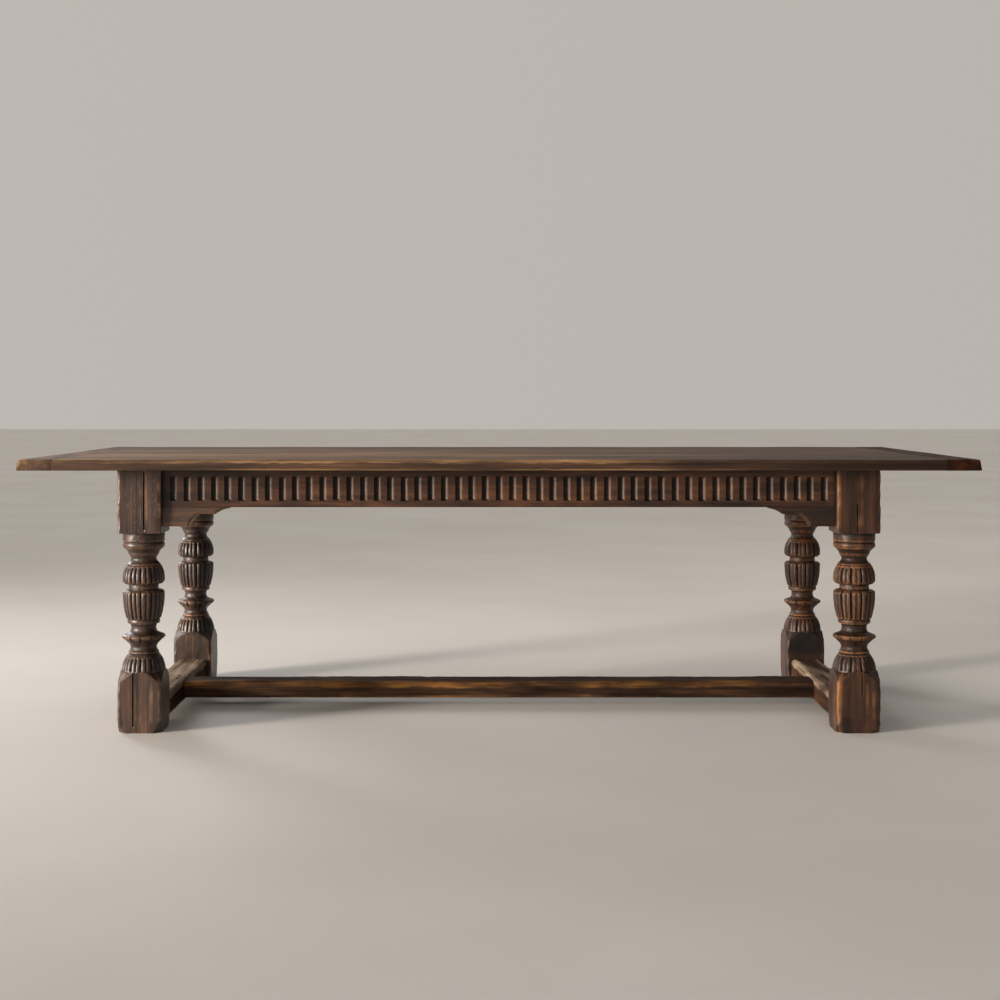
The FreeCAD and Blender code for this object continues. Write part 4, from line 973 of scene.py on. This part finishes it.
print("stretchers:", len(stretchers), "the long one", round(2 * inner / MM), "mm between the end ones")

# %% [markdown]
# ## Pieces that stay as the solids are
# The bearers and buttons under the top are plain sawn oak, and the pegs are riven and driven flush.
# They could be dressed like the rest, but little of them is seen and their solids have the right shape.
# So they only get their material.

# %% Kept solids
kept_solids = (
    (inner_oak, ("cross_bearer_left", "cross_bearer_right", "top_buttons")),
    (peg_oak, ("rail_pegs", "foot_pegs", "stretcher_pegs", "cleat_pegs")),
)
for wood, names in kept_solids:
    for name in names:
        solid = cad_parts[name].data
        solid.materials.clear()
        solid.materials.append(wood)
print("kept solids:", sum(len(names) for wood, names in kept_solids))

# %% [markdown]
# ## Floor
# The table stands on a pale, plain floor of painted screed, rolled on and matt. Paint isn't quite even,
# so soft clouds about a metre wide run through it.
# A flat grey would do for the shadows, but the clouds keep the floor from looking like empty paper.

# %% Floor
FLOOR_HALF = 40
FLOOR_CLOUD = 1110 * MM

floor_material = bpy.data.materials.new("pale_plain_floor")
floor_material.use_nodes = True
floor_tree = floor_material.node_tree
floor_place = add(floor_tree, "ShaderNodeTexCoord", output="Object")
floor_cloud = add(floor_tree, "ShaderNodeTexNoise", {
    "Vector": floor_place, "Scale": 1 / FLOOR_CLOUD, "Detail": 4, "Roughness": 0.55, "Distortion": 0.0})
floor_colour = add(floor_tree, "ShaderNodeValToRGB", (floor_cloud,),
                   stops=[(0.3, "#d5d1cc"), (0.7, "#dedbd7")])
floor_shader = floor_tree.nodes["Principled BSDF"].inputs
floor_tree.links.new(floor_colour, floor_shader["Base Color"])
floor_shader["Roughness"].default_value = 0.75
floor_mesh = bpy.data.meshes.new("floor")
floor_corners = [(x * FLOOR_HALF, y * FLOOR_HALF, 0) for x, y in ((-1, -1), (1, -1), (1, 1), (-1, 1))]
floor_mesh.from_pydata(floor_corners, [], [(0, 1, 2, 3)])
floor_mesh.materials.append(floor_material)
floor = bpy.data.objects.new("floor", floor_mesh)
bpy.context.scene.collection.objects.link(floor)
print("floor of", 2 * FLOOR_HALF, "m")

# %% [markdown]
# ## Light
# Low soft light from the left front models the turnings. A broad lamp and a soft sun share the work: the
# lamp alone would burn out the near end, and the sun alone would leave the ends alike. A grid before the
# lamp, its spread, keeps its light off the floor beside it.
# A weak light from the rear left gives the sheen on that end of the top. The surround is darker on the
# right, so that the turnings keep a shadow side.


# %% Light
def soft_light(name, place, target, kind, power, colour, **spread_out):
    """A light pointed at a target. Its size in metres, or its angle for a sun, keeps the shadows soft."""
    data = bpy.data.lights.new(name, kind)
    data.energy = power
    data.color = linear(colour)[:3]
    for key, value in spread_out.items():
        setattr(data, key, value)
    lamp = bpy.data.objects.new(name, data)
    lamp.location = place
    lamp.rotation_euler = (Vector(target) - Vector(place)).to_track_quat("-Z", "Y").to_euler()
    bpy.context.scene.collection.objects.link(lamp)
    return lamp


LEFT_FRONT = (-11.2, -5.8, 2.05)
REAR_LEFT = (-4.6, 4.6, 3.0)
WARM_WHITE, COOL_WHITE = "#fff4e6", "#fbfaff"
lamps = [
    soft_light("broad_lamp", LEFT_FRONT, (-1.5, 0.35, 0.5), "AREA", 84, WARM_WHITE,
               shape="DISK", size=3.0, spread=math.radians(30)),
    soft_light("soft_sun", LEFT_FRONT, (0.2, 0, 0.5), "SUN", 1.85, WARM_WHITE, angle=math.radians(22)),
    soft_light("sheen", REAR_LEFT, (-0.8, 0, 0.7), "AREA", 15, COOL_WHITE,
               shape="DISK", size=2.4, spread=math.radians(50)),
]
world = bpy.data.worlds.new("pale_surround")
world.use_nodes = True
sky = world.node_tree
direction = add(sky, "ShaderNodeTexCoord", output="Generated")
across = add(sky, "ShaderNodeSeparateXYZ", (direction,), "X")
from_left = add(sky, "ShaderNodeMapRange", (across, -1.0, 1.0, 0.0, 1.0))
surround = add(sky, "ShaderNodeValToRGB", (from_left,), stops=[
    (0.0, "#f2ede6"), (0.32, "#bdb8b2"), (0.68, "#b9b4ae"), (0.85, "#7c7874"), (1.0, "#5c5956")])
sky.links.new(surround, sky.nodes["Background"].inputs["Color"])
bpy.context.scene.world = world
bpy.context.scene.view_settings.view_transform = "Standard"
print("lights:", [lamp.name for lamp in lamps])
